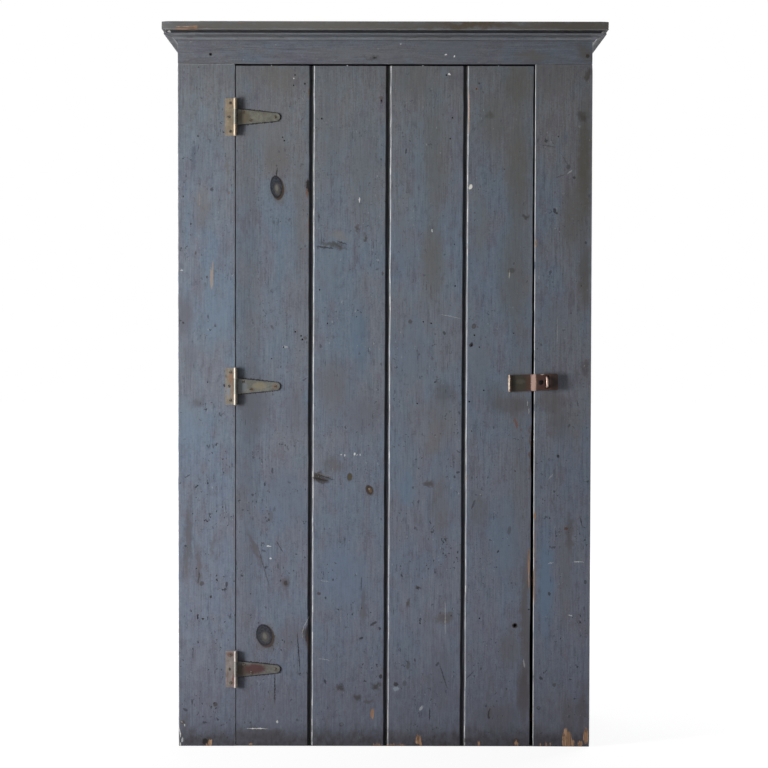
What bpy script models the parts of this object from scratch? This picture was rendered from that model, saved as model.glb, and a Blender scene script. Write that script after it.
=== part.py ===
"""Single-door cupboard in old painted pine: a ledged door of V-jointed boards on three T hinges,
closed by a hasp over a staple.

Metres, +Z up, front towards -Y. The origin is on the floor, under the middle of the whole object.
"""

import math

import bmesh
import bpy
from mathutils import Matrix, Vector

# Case
CASE_DEPTH = 0.400
TOTAL_HEIGHT = 1.672
FACE_THICK = 0.021
SIDE_THICK = 0.019
BACK_THICK = 0.013
BACK_COUNT = 5
BACK_GAP = 0.0012
BACK_FLOOR_GAP = 0.008
LEFT_STILE = 0.1323
RIGHT_STILE = 0.1316
HEADER_HEIGHT = 0.0725

# Top board and the moulding under it
TOP_THICK = 0.019
TOP_OVERHANG = 0.033
TOP_ARRIS = 0.0015
MOULDING_HEIGHT = 0.0195
MOULDING_OUT = 0.028
MOULDING_FILLET = 0.0045
MOULDING_FOOT = 0.004
COVE_STEPS = 5

# Shelves and bottom board
SHELF_THICK = 0.019
SHELF_COUNT = 4
BOTTOM_HEIGHT = 0.050
DADO_DEPTH = 0.006
SHELF_SETBACK = 0.006

# Door
DOOR_GAP_LEFT = 0.0015
DOOR_GAP_RIGHT = 0.0035
DOOR_GAP_TOP = 0.0048
DOOR_GAP_BOTTOM = 0.0022
DOOR_LEAN = 0.0045
BOARD_1_WIDTH = 0.1757
BOARD_2_WIDTH = 0.1764
BOARD_3_WIDTH = 0.1782
BOARD_4_WIDTH = 0.1558
JOINT_GAP = 0.002
CHAMFER = 0.005
TONGUE_THICK = 0.0065
TONGUE_LENGTH = 0.0065
TONGUE_CLEAR = 0.0005

# Battens on the back of the door
BATTEN_HEIGHT = 0.110
BATTEN_THICK = 0.021
BATTEN_INSET = 0.030
BATTEN_CHAMFER = 0.004
TOP_BATTEN_DOWN = 0.071
BOTTOM_BATTEN_UP = 0.330
MIDDLE_BATTEN_RISE = 0.050

# T hinges
TOP_HINGE_DOWN = 0.1177
BOTTOM_HINGE_UP = 0.1788
MIDDLE_HINGE_RISE = 0.0185
BARREL_RADIUS = 0.0045
HINGE_PIN_RADIUS = 0.0022
PLATE_THICK = 0.0017
LEAF_WIDTH = 0.0245
LEAF_HEIGHT = 0.085
STRAP_LENGTH = 0.102
STRAP_ROOT = 0.035
STRAP_TIP = 0.016
PIN_PROUD = 0.0012
LEAF_SCREW_IN = 0.012
LEAF_SCREW_UP = 0.0325
STRAP_SCREWS = {"upper": (0.018, 0.011), "lower": (0.035, -0.0073), "tip": (0.0915, 0.0)}

# Hasp and staple
HASP_IN_FROM_EDGE = 0.0525
HASP_ABOVE_HINGE = 0.0075
HASP_TILT = 2.4
HASP_TALL = 0.038
HASP_BARREL_RADIUS = 0.0042
HASP_PIN_RADIUS = 0.0018
HASP_LEAF_THICK = 0.0015
HASP_LEAF_LENGTH = 0.042
HASP_SCREW_ALONG = 0.0252
FLAP_THICK = 0.002
FLAP_FLAT = 0.048
FLAP_CRANK = 0.0115
FLAP_STEP = 0.006
FLAP_LENGTH = 0.1105
FLAP_CORNER = 0.004
FLAP_HOLE_AT = 0.0714
FLAP_HOLE_RADIUS = 0.0043
STAPLE_AT = 0.0862
STAPLE_WIRE = 0.0052
STAPLE_SPREAD = 0.021
STAPLE_PROUD = 0.0205
STAPLE_DEPTH = 0.015
STAPLE_CLEAR = 0.0026

# Screws
SCREW_HEAD_RADIUS = 0.0034
SCREW_HEAD_HIGH = 0.0011
SCREW_CROWN_RADIUS = 0.002
SCREW_CROWN_DROP = 0.0002
SCREW_SHANK_RADIUS = 0.0017
SCREW_LENGTH = 0.016
SCREW_POINT = 0.005
HASP_SCREW_UP = 0.0115
HASP_SCREW_HEAD_HIGH = 0.0003
HASP_SCREW_SUNK = 0.0008

# Fits
SEAT = 0.0003
KNUCKLE_GAP = 0.0005
HOLE_CLEAR = 0.0004
PAST = 0.004

# Facets of round shapes, and the angle over which a corner stays sharp
ROUND_SIDES = 16
HOLE_SIDES = 12
TIP_STEPS = 8
CROWN_STEPS = 12
CORNER_STEPS = 3
SHARP_ANGLE = math.radians(40)
QUARTER_TURN = math.radians(90)
HALF_TURN = math.radians(180)

# Planes and heights worked out from the sizes above
BOARD_WIDTHS = (BOARD_1_WIDTH, BOARD_2_WIDTH, BOARD_3_WIDTH, BOARD_4_WIDTH)
CASE_WIDTH = LEFT_STILE + DOOR_GAP_LEFT + sum(BOARD_WIDTHS) + DOOR_GAP_RIGHT + RIGHT_STILE
LEFT = -CASE_WIDTH / 2
RIGHT = CASE_WIDTH / 2
FRONT = (TOP_OVERHANG - CASE_DEPTH) / 2
BACK = FRONT + CASE_DEPTH
FACE_BACK = FRONT + FACE_THICK
CASE_TOP = TOTAL_HEIGHT - TOP_THICK
HEADER_BOTTOM = CASE_TOP - HEADER_HEIGHT
DOOR_LEFT = LEFT + LEFT_STILE + DOOR_GAP_LEFT
DOOR_RIGHT = RIGHT - RIGHT_STILE - DOOR_GAP_RIGHT
DOOR_TOP = HEADER_BOTTOM - DOOR_GAP_TOP
DOOR_BOTTOM = DOOR_GAP_BOTTOM
TOP_HINGE = DOOR_TOP - TOP_HINGE_DOWN
BOTTOM_HINGE = DOOR_BOTTOM + BOTTOM_HINGE_UP
MIDDLE_HINGE = (TOP_HINGE + BOTTOM_HINGE) / 2 + MIDDLE_HINGE_RISE
HINGE_HEIGHTS = {"top": TOP_HINGE, "middle": MIDDLE_HINGE, "bottom": BOTTOM_HINGE}
HASP_HEIGHT = MIDDLE_HINGE + HASP_ABOVE_HINGE
TOP_BATTEN = DOOR_TOP - TOP_BATTEN_DOWN
BOTTOM_BATTEN = DOOR_BOTTOM + BOTTOM_BATTEN_UP
MIDDLE_BATTEN = (TOP_BATTEN + BOTTOM_BATTEN) / 2 + MIDDLE_BATTEN_RISE
BATTEN_HEIGHTS = {"top": TOP_BATTEN, "middle": MIDDLE_BATTEN, "bottom": BOTTOM_BATTEN}
HINGE_AXIS = Vector((DOOR_LEFT, FRONT - BARREL_RADIUS - SEAT, 0.0))
HASP_AXIS = Vector((DOOR_RIGHT - HASP_IN_FROM_EDGE, FRONT - HASP_BARREL_RADIUS - SEAT, HASP_HEIGHT))
SHELF_FRONT = FACE_BACK + SEAT + BATTEN_THICK + SHELF_SETBACK
SHELF_BACK = BACK - BACK_THICK - SEAT


def clear_scene():
    """Take away what the start-up scene holds."""
    for obj in list(bpy.data.objects):
        bpy.data.objects.remove(obj, do_unlink=True)


def new_collection(name):
    """A collection linked to the scene."""
    collection = bpy.data.collections.new(name)
    bpy.context.scene.collection.children.link(collection)
    return collection


clear_scene()
PARTS = new_collection("single_door_cupboard")
HELPERS = new_collection("cutters")


def material(name, colour, roughness, metallic=0.0):
    """One finish, as a Principled BSDF."""
    made = bpy.data.materials.new(name)
    made.use_nodes = True
    shader = made.node_tree.nodes["Principled BSDF"]
    shader.inputs["Base Color"].default_value = (*colour, 1.0)
    shader.inputs["Roughness"].default_value = roughness
    shader.inputs["Metallic"].default_value = metallic
    made.diffuse_color = (*colour, 1.0)
    return made


PAINT = material("blue_grey_paint", (0.105, 0.130, 0.170), 0.45)
BARE_PINE = material("aged_pine", (0.42, 0.26, 0.13), 0.70)
HINGE_STEEL = material("hinge_steel", (0.19, 0.165, 0.145), 0.50, 0.75)
HASP_IRON = material("hasp_iron", (0.16, 0.115, 0.09), 0.55, 0.70)
SCREW_STEEL = material("screw_steel", (0.14, 0.125, 0.115), 0.50, 0.80)


def part(name, bm, finish):
    """A finished sub-part from a mesh in the making."""
    mesh = bpy.data.meshes.new(name)
    bm.to_mesh(mesh)
    bm.free()
    mesh.materials.append(finish)
    obj = bpy.data.objects.new(name, mesh)
    PARTS.objects.link(obj)
    return obj


def helper(name, bm):
    """A solid that only cuts or adds to another, and never shows."""
    mesh = bpy.data.meshes.new(name)
    bm.to_mesh(mesh)
    bm.free()
    obj = bpy.data.objects.new(name, mesh)
    HELPERS.objects.link(obj)
    obj.hide_render = True
    obj.display_type = "WIRE"
    return obj


def add_box(bm, low, high):
    """A box between two opposite corners."""
    low = Vector(low)
    high = Vector(high)
    place = Matrix.Translation((low + high) / 2) @ Matrix.Diagonal((*(high - low), 1.0))
    bmesh.ops.create_cube(bm, size=1.0, matrix=place)


def add_rod(bm, start, end, radius, sides=ROUND_SIDES):
    """A round rod from one point to another."""
    start = Vector(start)
    end = Vector(end)
    turn = (end - start).to_track_quat("Z", "Y").to_matrix().to_4x4()
    bmesh.ops.create_cone(
        bm,
        cap_ends=True,
        segments=sides,
        radius1=radius,
        radius2=radius,
        depth=(end - start).length,
        matrix=Matrix.Translation((start + end) / 2) @ turn,
    )


def add_prism(bm, outline, travel):
    """An outline of 3-D points, filled and drawn out along one vector."""
    face = bm.faces.new([bm.verts.new(point) for point in outline])
    drawn = bmesh.ops.extrude_face_region(bm, geom=[face])
    moved = [item for item in drawn["geom"] if isinstance(item, bmesh.types.BMVert)]
    bmesh.ops.translate(bm, verts=moved, vec=travel)
    bmesh.ops.recalc_face_normals(bm, faces=bm.faces)


def box(name, low, high, finish):
    """A sawn board or plate as its own part."""
    bm = bmesh.new()
    add_box(bm, low, high)
    return part(name, bm, finish)


def combine(obj, other, operation):
    """Cut the other solid out of this one, or add it."""
    change = obj.modifiers.new(other.name, "BOOLEAN")
    change.operation = operation
    change.object = other
    change.solver = "EXACT"


def soften(obj, width, segments=1):
    """Take the sharp arris off all edges."""
    bevel = obj.modifiers.new("arris", "BEVEL")
    bevel.width = width
    bevel.segments = segments
    bevel.limit_method = "ANGLE"


def smooth(obj):
    """Shade a faceted round piece smooth, with its corners kept sharp."""
    obj.data.shade_smooth()
    obj.data.set_sharp_from_angle(angle=SHARP_ANGLE)


def drill(obj, name, points, radius, start, end):
    """Bore holes along Y at (x, z) points, from one depth to another."""
    bm = bmesh.new()
    for x, z in points:
        add_rod(bm, (x, start, z), (x, end, z), radius, HOLE_SIDES)
    cutter = helper(name, bm)
    combine(obj, cutter, "DIFFERENCE")
    return cutter


def empty(name, place):
    """An empty that stands on a joint's axis."""
    made = bpy.data.objects.new(name, None)
    made.empty_display_size = 0.05
    made.location = place
    PARTS.objects.link(made)
    return made


def carry(parent, *objects):
    """Parent objects modelled in world places, and leave them where they are."""
    bpy.context.view_layer.update()
    for obj in objects:
        obj.parent = parent
        obj.matrix_parent_inverse = parent.matrix_world.inverted()


def shelf_heights():
    """Undersides of the shelves, which share the space between bottom board and top board evenly."""
    low = BOTTOM_HEIGHT + SHELF_THICK
    opening = (CASE_TOP - low - SHELF_COUNT * SHELF_THICK) / (SHELF_COUNT + 1)
    return [low + opening + index * (opening + SHELF_THICK) for index in range(SHELF_COUNT)]


def leaf_screw_places():
    """Screw places on a hinge leaf, from the middle of its barrel."""
    middle_in = LEAF_SCREW_IN + SCREW_HEAD_RADIUS
    return {
        "upper": (-LEAF_SCREW_IN, LEAF_SCREW_UP),
        "centre": (-middle_in, 0.0),
        "lower": (-LEAF_SCREW_IN, -LEAF_SCREW_UP),
    }


def hasp_turn():
    """Turn of the hasp on the face of the door: its free end stands a little high."""
    return Matrix.Rotation(-math.radians(HASP_TILT), 4, "Y")


def on_hasp(x, y, z):
    """World place of a point given along the hasp, in from its barrel's axis, and up it."""
    return HASP_AXIS + hasp_turn() @ Vector((x, y, z))


def build_case():
    """Sides, stiles, header, top board, bottom, shelves and back boards."""
    side_back = BACK - BACK_THICK - SEAT
    levels = [BOTTOM_HEIGHT] + shelf_heights()
    inner = CASE_WIDTH / 2 - SIDE_THICK
    for name, way in (("side_left", -1), ("side_right", 1)):
        xs = sorted((way * inner, way * CASE_WIDTH / 2))
        side = box(name, (xs[0], FACE_BACK + SEAT, 0.0), (xs[1], side_back, CASE_TOP - SEAT), PAINT)
        bm = bmesh.new()
        cut_xs = sorted((way * (inner - PAST), way * (inner + DADO_DEPTH)))
        for level in levels:
            add_box(
                bm,
                (cut_xs[0], SHELF_FRONT - SEAT, level - SEAT),
                (cut_xs[1], side_back + PAST, level + SHELF_THICK + SEAT),
            )
        combine(side, helper(name + "_dados", bm), "DIFFERENCE")

    end = inner + DADO_DEPTH - SEAT
    names = ["bottom_board"] + [f"shelf_{index + 1}" for index in range(SHELF_COUNT)]
    for name, level in zip(names, levels):
        box(name, (-end, SHELF_FRONT, level), (end, SHELF_BACK, level + SHELF_THICK), BARE_PINE)

    pitch = CASE_WIDTH / BACK_COUNT
    for index in range(BACK_COUNT):
        left = LEFT + index * pitch + (BACK_GAP / 2 if index else 0.0)
        right = LEFT + (index + 1) * pitch - (BACK_GAP / 2 if index < BACK_COUNT - 1 else 0.0)
        low = (left, BACK - BACK_THICK, BACK_FLOOR_GAP)
        box(f"back_board_{index + 1}", low, (right, BACK, CASE_TOP - SEAT), BARE_PINE)

    top = box(
        "top_board",
        (LEFT - TOP_OVERHANG, FRONT - TOP_OVERHANG, CASE_TOP),
        (RIGHT + TOP_OVERHANG, BACK, TOTAL_HEIGHT),
        PAINT,
    )
    soften(top, TOP_ARRIS, 2)
    box("header_rail", (LEFT, FRONT, HEADER_BOTTOM), (RIGHT, FACE_BACK, CASE_TOP - SEAT), PAINT)


def build_stiles():
    """The two uprights of the face, bored for the hinge screws and the staple."""
    top = HEADER_BOTTOM - SEAT
    left = box("stile_left", (LEFT, FRONT, 0.0), (LEFT + LEFT_STILE, FACE_BACK, top), PAINT)
    places = [
        (HINGE_AXIS.x + dx, height + dz)
        for height in HINGE_HEIGHTS.values()
        for dx, dz in leaf_screw_places().values()
    ]
    drill(
        left,
        "stile_screw_holes",
        places,
        SCREW_SHANK_RADIUS + HOLE_CLEAR,
        FRONT - PAST,
        FRONT + SCREW_LENGTH + HOLE_CLEAR,
    )
    right = box("stile_right", (RIGHT - RIGHT_STILE, FRONT, 0.0), (RIGHT, FACE_BACK, top), PAINT)
    legs = [on_hasp(STAPLE_AT, 0.0, way * STAPLE_SPREAD / 2) for way in (-1, 1)]
    drill(
        right,
        "staple_holes",
        [(leg.x, leg.z) for leg in legs],
        STAPLE_WIRE / 2 + HOLE_CLEAR,
        FRONT - PAST,
        FRONT + STAPLE_DEPTH + HOLE_CLEAR,
    )


def moulding_profile():
    """Outline of the bed moulding: (out from the case, up from its lower edge).

    A square foot, a hollow cove and a flat fillet under the top board.
    """
    cove_out = MOULDING_OUT - MOULDING_FOOT
    cove_up = MOULDING_HEIGHT - MOULDING_FILLET - MOULDING_FOOT / 2
    points = [(0.0, 0.0), (MOULDING_FOOT, 0.0)]
    for step in range(COVE_STEPS + 1):
        angle = QUARTER_TURN * step / COVE_STEPS
        out = MOULDING_OUT - cove_out * math.cos(angle)
        up = MOULDING_FOOT / 2 + cove_up * math.sin(angle)
        points.append((out, up))
    points += [(MOULDING_OUT, MOULDING_HEIGHT), (0.0, MOULDING_HEIGHT)]
    return points


def build_moulding():
    """The bed moulding, a front length between two returns, mitred where they meet."""
    base = CASE_TOP - SEAT - MOULDING_HEIGHT
    face = FRONT - SEAT
    end = CASE_WIDTH / 2 + SEAT
    bm = bmesh.new()
    profile = moulding_profile()
    add_prism(bm, [(-end, face - out, base + up) for out, up in profile], (2 * end, 0.0, 0.0))
    for vert in bm.verts:
        vert.co.x += math.copysign(face - vert.co.y - SEAT, vert.co.x)
    part("cornice_front", bm, PAINT)
    for name, way in (("cornice_left", -1), ("cornice_right", 1)):
        bm = bmesh.new()
        outline = [(way * (end + out), face, base + up) for out, up in profile]
        add_prism(bm, outline, (0.0, BACK - face, 0.0))
        for vert in bm.verts:
            if vert.co.y < (face + BACK) / 2:
                vert.co.y -= abs(vert.co.x) - end - SEAT
        part(name, bm, PAINT)


def board_outline(left, right, tongue, groove):
    """Section of a door board: V-jointed edges with a tongue at the right and a groove at the left."""
    middle = FRONT + FACE_THICK / 2
    half = TONGUE_THICK / 2
    points = []
    if groove:
        wide = half + TONGUE_CLEAR
        deep = left + TONGUE_LENGTH + TONGUE_CLEAR
        points += [(left + CHAMFER, FRONT), (left, FRONT + CHAMFER)]
        points += [(left, middle - wide), (deep, middle - wide)]
        points += [(deep, middle + wide), (left, middle + wide)]
    else:
        points.append((left, FRONT))
    points += [(left, FACE_BACK), (right, FACE_BACK)]
    if tongue:
        tip = right + JOINT_GAP + TONGUE_LENGTH
        points += [(right, middle + half), (tip, middle + half)]
        points += [(tip, middle - half), (right, middle - half)]
        points += [(right, FRONT + CHAMFER), (right - CHAMFER, FRONT)]
    else:
        points.append((right, FRONT))
    return points


def build_door(axis):
    """Four V-jointed boards held by three battens."""
    joints = [DOOR_LEFT]
    for width in BOARD_WIDTHS:
        joints.append(joints[-1] + width)
    last = len(BOARD_WIDTHS) - 1
    boards = []
    for index in range(len(BOARD_WIDTHS)):
        left = joints[index] + (JOINT_GAP / 2 if index else 0.0)
        right = joints[index + 1] - (JOINT_GAP / 2 if index < last else 0.0)
        outline = board_outline(left, right, tongue=index < last, groove=index > 0)
        bm = bmesh.new()
        add_prism(bm, [(x, y, DOOR_BOTTOM) for x, y in outline], (0.0, 0.0, DOOR_TOP - DOOR_BOTTOM))
        middle = (left + right) / 2
        for vert in bm.verts:
            low = vert.co.z < (DOOR_BOTTOM + DOOR_TOP) / 2
            if low and (index or vert.co.x > middle):
                vert.co.x -= DOOR_LEAN
        boards.append(part(f"door_board_{index + 1}", bm, PAINT))

    screws = [
        (HINGE_AXIS.x + dx, height + dz)
        for height in HINGE_HEIGHTS.values()
        for dx, dz in STRAP_SCREWS.values()
    ]
    end = FRONT + SCREW_LENGTH + HOLE_CLEAR
    shank_hole = SCREW_SHANK_RADIUS + HOLE_CLEAR
    hinge_holes = drill(boards[0], "strap_screw_holes", screws, shank_hole, FRONT - PAST, end)
    hasp_screws = [on_hasp(HASP_SCREW_ALONG, 0.0, way * HASP_SCREW_UP) for way in (-1, 1)]
    places = [(place.x, place.z) for place in hasp_screws]
    hasp_holes = drill(boards[last], "hasp_screw_holes", places, shank_hole, FRONT - PAST, end)

    left = DOOR_LEFT + BATTEN_INSET
    right = DOOR_RIGHT - DOOR_LEAN - BATTEN_INSET
    battens = []
    for name, height in BATTEN_HEIGHTS.items():
        low = (left, FACE_BACK + SEAT, height - BATTEN_HEIGHT / 2)
        high = (right, FACE_BACK + SEAT + BATTEN_THICK, height + BATTEN_HEIGHT / 2)
        batten = box("batten_" + name, low, high, PAINT)
        soften(batten, BATTEN_CHAMFER)
        battens.append(batten)
    carry(axis, *boards, *battens, hinge_holes, hasp_holes)


def screw(name, place, turn, head_high):
    """A wood screw, its head proud of the seat at the given place and its shank behind it."""
    profile = [
        (0.0, head_high),
        (SCREW_CROWN_RADIUS, head_high - SCREW_CROWN_DROP),
        (SCREW_HEAD_RADIUS, 0.0),
        (SCREW_SHANK_RADIUS, 0.0),
        (SCREW_SHANK_RADIUS, SCREW_POINT - SCREW_LENGTH),
        (0.0, -SCREW_LENGTH),
    ]
    bm = bmesh.new()
    verts = [bm.verts.new((x, 0.0, z)) for x, z in profile]
    for first, second in zip(verts, verts[1:]):
        bm.edges.new((first, second))
    made = part(name, bm, SCREW_STEEL)
    sweep = made.modifiers.new("turned", "SCREW")
    sweep.steps = HOLE_SIDES
    sweep.render_steps = HOLE_SIDES
    sweep.use_merge_vertices = True
    sweep.merge_threshold = 0.00001
    sweep.use_smooth_shade = True
    made.location = place
    made.rotation_euler = (turn @ Matrix.Rotation(QUARTER_TURN, 4, "X")).to_euler()
    return made


def knuckle(name, radius, low, high, plate_to, plate_thick, bed):
    """One knuckle of a hinge: a round barrel and the piece of plate that joins it."""
    bm = bmesh.new()
    add_rod(bm, (0.0, 0.0, low), (0.0, 0.0, high), radius)
    barrel = helper(name, bm)
    bm = bmesh.new()
    xs = sorted((0.0, plate_to))
    add_box(bm, (xs[0], bed - plate_thick, low), (xs[1], bed, high))
    return barrel, helper(name + "_root", bm)


def bore(name, radius, height):
    """The hole through a hinge's knuckles."""
    bm = bmesh.new()
    add_rod(bm, (0.0, 0.0, -height / 2 - PAST), (0.0, 0.0, height / 2 + PAST), radius)
    return helper(name, bm)


def hinge_pin(name, radius, length):
    """A plain pin standing on its joint's axis."""
    bm = bmesh.new()
    add_rod(bm, (0.0, 0.0, -length / 2), (0.0, 0.0, length / 2), radius)
    made = part(name, bm, HINGE_STEEL)
    smooth(made)
    return made


def strap_outline():
    """Outline of a hinge strap seen from the front: a long taper that ends in a round tip."""
    start = BARREL_RADIUS + KNUCKLE_GAP
    tip = STRAP_TIP / 2
    points = [(start, -STRAP_ROOT / 2)]
    for step in range(TIP_STEPS + 1):
        angle = HALF_TURN * step / TIP_STEPS - QUARTER_TURN
        points.append((STRAP_LENGTH - tip + tip * math.cos(angle), tip * math.sin(angle)))
    points.append((start, STRAP_ROOT / 2))
    return points


def plate_holes(name, places, bed, thick):
    """Screw holes through a hinge plate that lies on the face of the wood."""
    bm = bmesh.new()
    for x, z in places:
        low = (x, bed - thick - PAST, z)
        add_rod(bm, low, (x, bed + PAST, z), SCREW_SHANK_RADIUS + HOLE_CLEAR, HOLE_SIDES)
    return helper(name, bm)


def build_hinge(name, height, axis):
    """One T hinge: leaf on the stile, strap on the door, pin and six screws."""
    middle = STRAP_ROOT / 2
    outer = LEAF_HEIGHT / 2
    bed = BARREL_RADIUS
    notch = BARREL_RADIUS + KNUCKLE_GAP
    pin_hole = HINGE_PIN_RADIUS + SEAT
    place = HINGE_AXIS + Vector((0.0, 0.0, height))
    ident = Matrix.Identity(4)

    bm = bmesh.new()
    add_box(bm, (-LEAF_WIDTH, bed - PLATE_THICK, -outer), (-notch, bed, outer))
    leaf = part(f"hinge_{name}_leaf", bm, HINGE_STEEL)
    tools = []
    ends = {"lower": (-outer, -middle - KNUCKLE_GAP), "upper": (middle + KNUCKLE_GAP, outer)}
    for end, (low, high) in ends.items():
        label = f"hinge_{name}_{end}_knuckle"
        tools += knuckle(label, BARREL_RADIUS, low, high, -LEAF_WIDTH / 2, PLATE_THICK, bed)
    for tool in tools:
        combine(leaf, tool, "UNION")
    leaf_bore = bore(f"hinge_{name}_leaf_bore", pin_hole, LEAF_HEIGHT)
    screw_holes = plate_holes(f"hinge_{name}_leaf_holes", leaf_screw_places().values(), bed, PLATE_THICK)
    combine(leaf, leaf_bore, "DIFFERENCE")
    combine(leaf, screw_holes, "DIFFERENCE")
    smooth(leaf)
    for obj in [leaf, leaf_bore, screw_holes] + tools:
        obj.location = place

    bm = bmesh.new()
    outline = [(x, bed, z) for x, z in strap_outline()]
    add_prism(bm, outline, (0.0, -PLATE_THICK, 0.0))
    strap = part(f"hinge_{name}_strap", bm, HINGE_STEEL)
    label = f"hinge_{name}_strap_knuckle"
    tools = list(knuckle(label, BARREL_RADIUS, -middle, middle, notch + PAST, PLATE_THICK, bed))
    for tool in tools:
        combine(strap, tool, "UNION")
    strap_bore = bore(f"hinge_{name}_strap_bore", pin_hole, STRAP_ROOT)
    screw_holes = plate_holes(f"hinge_{name}_strap_holes", STRAP_SCREWS.values(), bed, PLATE_THICK)
    combine(strap, strap_bore, "DIFFERENCE")
    combine(strap, screw_holes, "DIFFERENCE")
    smooth(strap)
    pin = hinge_pin(f"hinge_{name}_pin", HINGE_PIN_RADIUS, LEAF_HEIGHT + 2 * PIN_PROUD)
    for obj in [strap, strap_bore, screw_holes, pin] + tools:
        obj.location = place

    head = Vector((0.0, bed - PLATE_THICK - SEAT, 0.0))
    for end, (dx, dz) in leaf_screw_places().items():
        label = f"hinge_{name}_leaf_screw_{end}"
        screw(label, place + head + Vector((dx, 0.0, dz)), ident, SCREW_HEAD_HIGH)
    screws = []
    for end, (dx, dz) in STRAP_SCREWS.items():
        label = f"hinge_{name}_strap_screw_{end}"
        screws.append(screw(label, place + head + Vector((dx, 0.0, dz)), ident, SCREW_HEAD_HIGH))
    carry(axis, strap, strap_bore, screw_holes, *tools, *screws)


def flap_section():
    """Section of the hasp flap along its length: flat over the leaf, cranked, then raised."""
    back = HASP_BARREL_RADIUS - HASP_LEAF_THICK - SEAT
    raised = back - FLAP_STEP
    bend = FLAP_FLAT + FLAP_CRANK
    return [
        (0.0, back),
        (FLAP_FLAT, back),
        (bend, raised),
        (FLAP_LENGTH, raised),
        (FLAP_LENGTH, raised - FLAP_THICK),
        (bend - FLAP_THICK / 2, raised - FLAP_THICK),
        (FLAP_FLAT - FLAP_THICK / 2, back - FLAP_THICK),
        (0.0, back - FLAP_THICK),
    ]


def build_hasp(door_axis, flap_axis):
    """Hasp leaf, flap, pin and screws on the door."""
    half = HASP_TALL / 2
    third = HASP_TALL / 6
    turn = hasp_turn()
    bed = HASP_BARREL_RADIUS
    notch = HASP_BARREL_RADIUS + KNUCKLE_GAP
    pin_hole = HASP_PIN_RADIUS + SEAT

    bm = bmesh.new()
    add_box(bm, (notch, bed - HASP_LEAF_THICK, -half), (HASP_LEAF_LENGTH, bed, half))
    leaf = part("hasp_leaf", bm, HASP_IRON)
    leaf_tools = []
    ends = {"lower": (-half, -third - KNUCKLE_GAP), "upper": (third + KNUCKLE_GAP, half)}
    for end, (low, high) in ends.items():
        label = f"hasp_{end}_knuckle"
        leaf_tools += knuckle(label, bed, low, high, notch + PAST, HASP_LEAF_THICK, bed)
    for tool in leaf_tools:
        combine(leaf, tool, "UNION")
    leaf_bore = bore("hasp_leaf_bore", pin_hole, HASP_TALL)
    screw_places = [(HASP_SCREW_ALONG, way * HASP_SCREW_UP) for way in (-1, 1)]
    leaf_holes = plate_holes("hasp_leaf_holes", screw_places, bed, HASP_LEAF_THICK)
    head_seat = bed - HASP_LEAF_THICK + HASP_SCREW_SUNK
    bm = bmesh.new()
    for x, z in screw_places:
        sink_radius = SCREW_HEAD_RADIUS + HOLE_CLEAR
        add_rod(bm, (x, bed - HASP_LEAF_THICK - PAST, z), (x, head_seat, z), sink_radius, HOLE_SIDES)
    leaf_sinks = helper("hasp_leaf_sinks", bm)
    for tool in (leaf_bore, leaf_holes, leaf_sinks):
        combine(leaf, tool, "DIFFERENCE")
    smooth(leaf)

    bm = bmesh.new()
    add_prism(bm, [(x, y, -half) for x, y in flap_section()], (0.0, 0.0, HASP_TALL))
    corners = [
        edge
        for edge in bm.edges
        if all(vert.co.x > FLAP_LENGTH - PAST for vert in edge.verts)
        and abs(edge.verts[0].co.z - edge.verts[1].co.z) < SEAT
        and abs(edge.verts[0].co.y - edge.verts[1].co.y) > SEAT
    ]
    bmesh.ops.bevel(bm, geom=corners, offset=FLAP_CORNER, segments=CORNER_STEPS, affect="EDGES", profile=0.5)
    flap = part("hasp_flap", bm, HASP_IRON)
    bm = bmesh.new()
    add_rod(bm, (0.0, 0.0, -third), (0.0, 0.0, third), bed)
    barrel = helper("hasp_flap_knuckle", bm)
    flap_bore = bore("hasp_flap_bore", pin_hole, HASP_TALL)
    bm = bmesh.new()
    for way in (-1, 1):
        clear = sorted((way * (third + KNUCKLE_GAP), way * (half + PAST)))
        add_box(bm, (-PAST, -bed - PAST, clear[0]), (notch, bed + PAST, clear[1]))
    knuckle_clear = helper("hasp_flap_notches", bm)
    bm = bmesh.new()
    slot_wide = STAPLE_WIRE / 2 + STAPLE_CLEAR
    slot_tall = STAPLE_SPREAD / 2 + STAPLE_WIRE / 2 + STAPLE_CLEAR
    raised = flap_section()[3][1]
    front = raised - FLAP_THICK - PAST
    slot_low = (STAPLE_AT - slot_wide, front, -slot_tall)
    add_box(bm, slot_low, (STAPLE_AT + slot_wide, raised + PAST, slot_tall))
    slot = helper("hasp_flap_slot", bm)
    bm = bmesh.new()
    hole_ends = ((FLAP_HOLE_AT, front, 0.0), (FLAP_HOLE_AT, raised + PAST, 0.0))
    add_rod(bm, *hole_ends, FLAP_HOLE_RADIUS)
    hole = helper("hasp_flap_hole", bm)
    combine(flap, knuckle_clear, "DIFFERENCE")
    combine(flap, barrel, "UNION")
    for tool in (flap_bore, slot, hole):
        combine(flap, tool, "DIFFERENCE")
    smooth(flap)

    pin = hinge_pin("hasp_pin", HASP_PIN_RADIUS, HASP_TALL + 2 * PIN_PROUD)
    on_door = leaf_tools + [leaf, leaf_bore, leaf_holes, leaf_sinks, pin]
    on_flap = [flap, barrel, flap_bore, knuckle_clear, slot, hole]
    for obj in on_door + on_flap:
        obj.location = HASP_AXIS
        obj.rotation_euler = turn.to_euler()
    screws = []
    for name, (x, z) in zip(("lower", "upper"), screw_places):
        place = on_hasp(x, head_seat - SEAT, z)
        screws.append(screw(f"hasp_leaf_screw_{name}", place, turn, HASP_SCREW_HEAD_HIGH))
    carry(door_axis, flap_axis, *on_door, *screws)
    carry(flap_axis, *on_flap)


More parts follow.
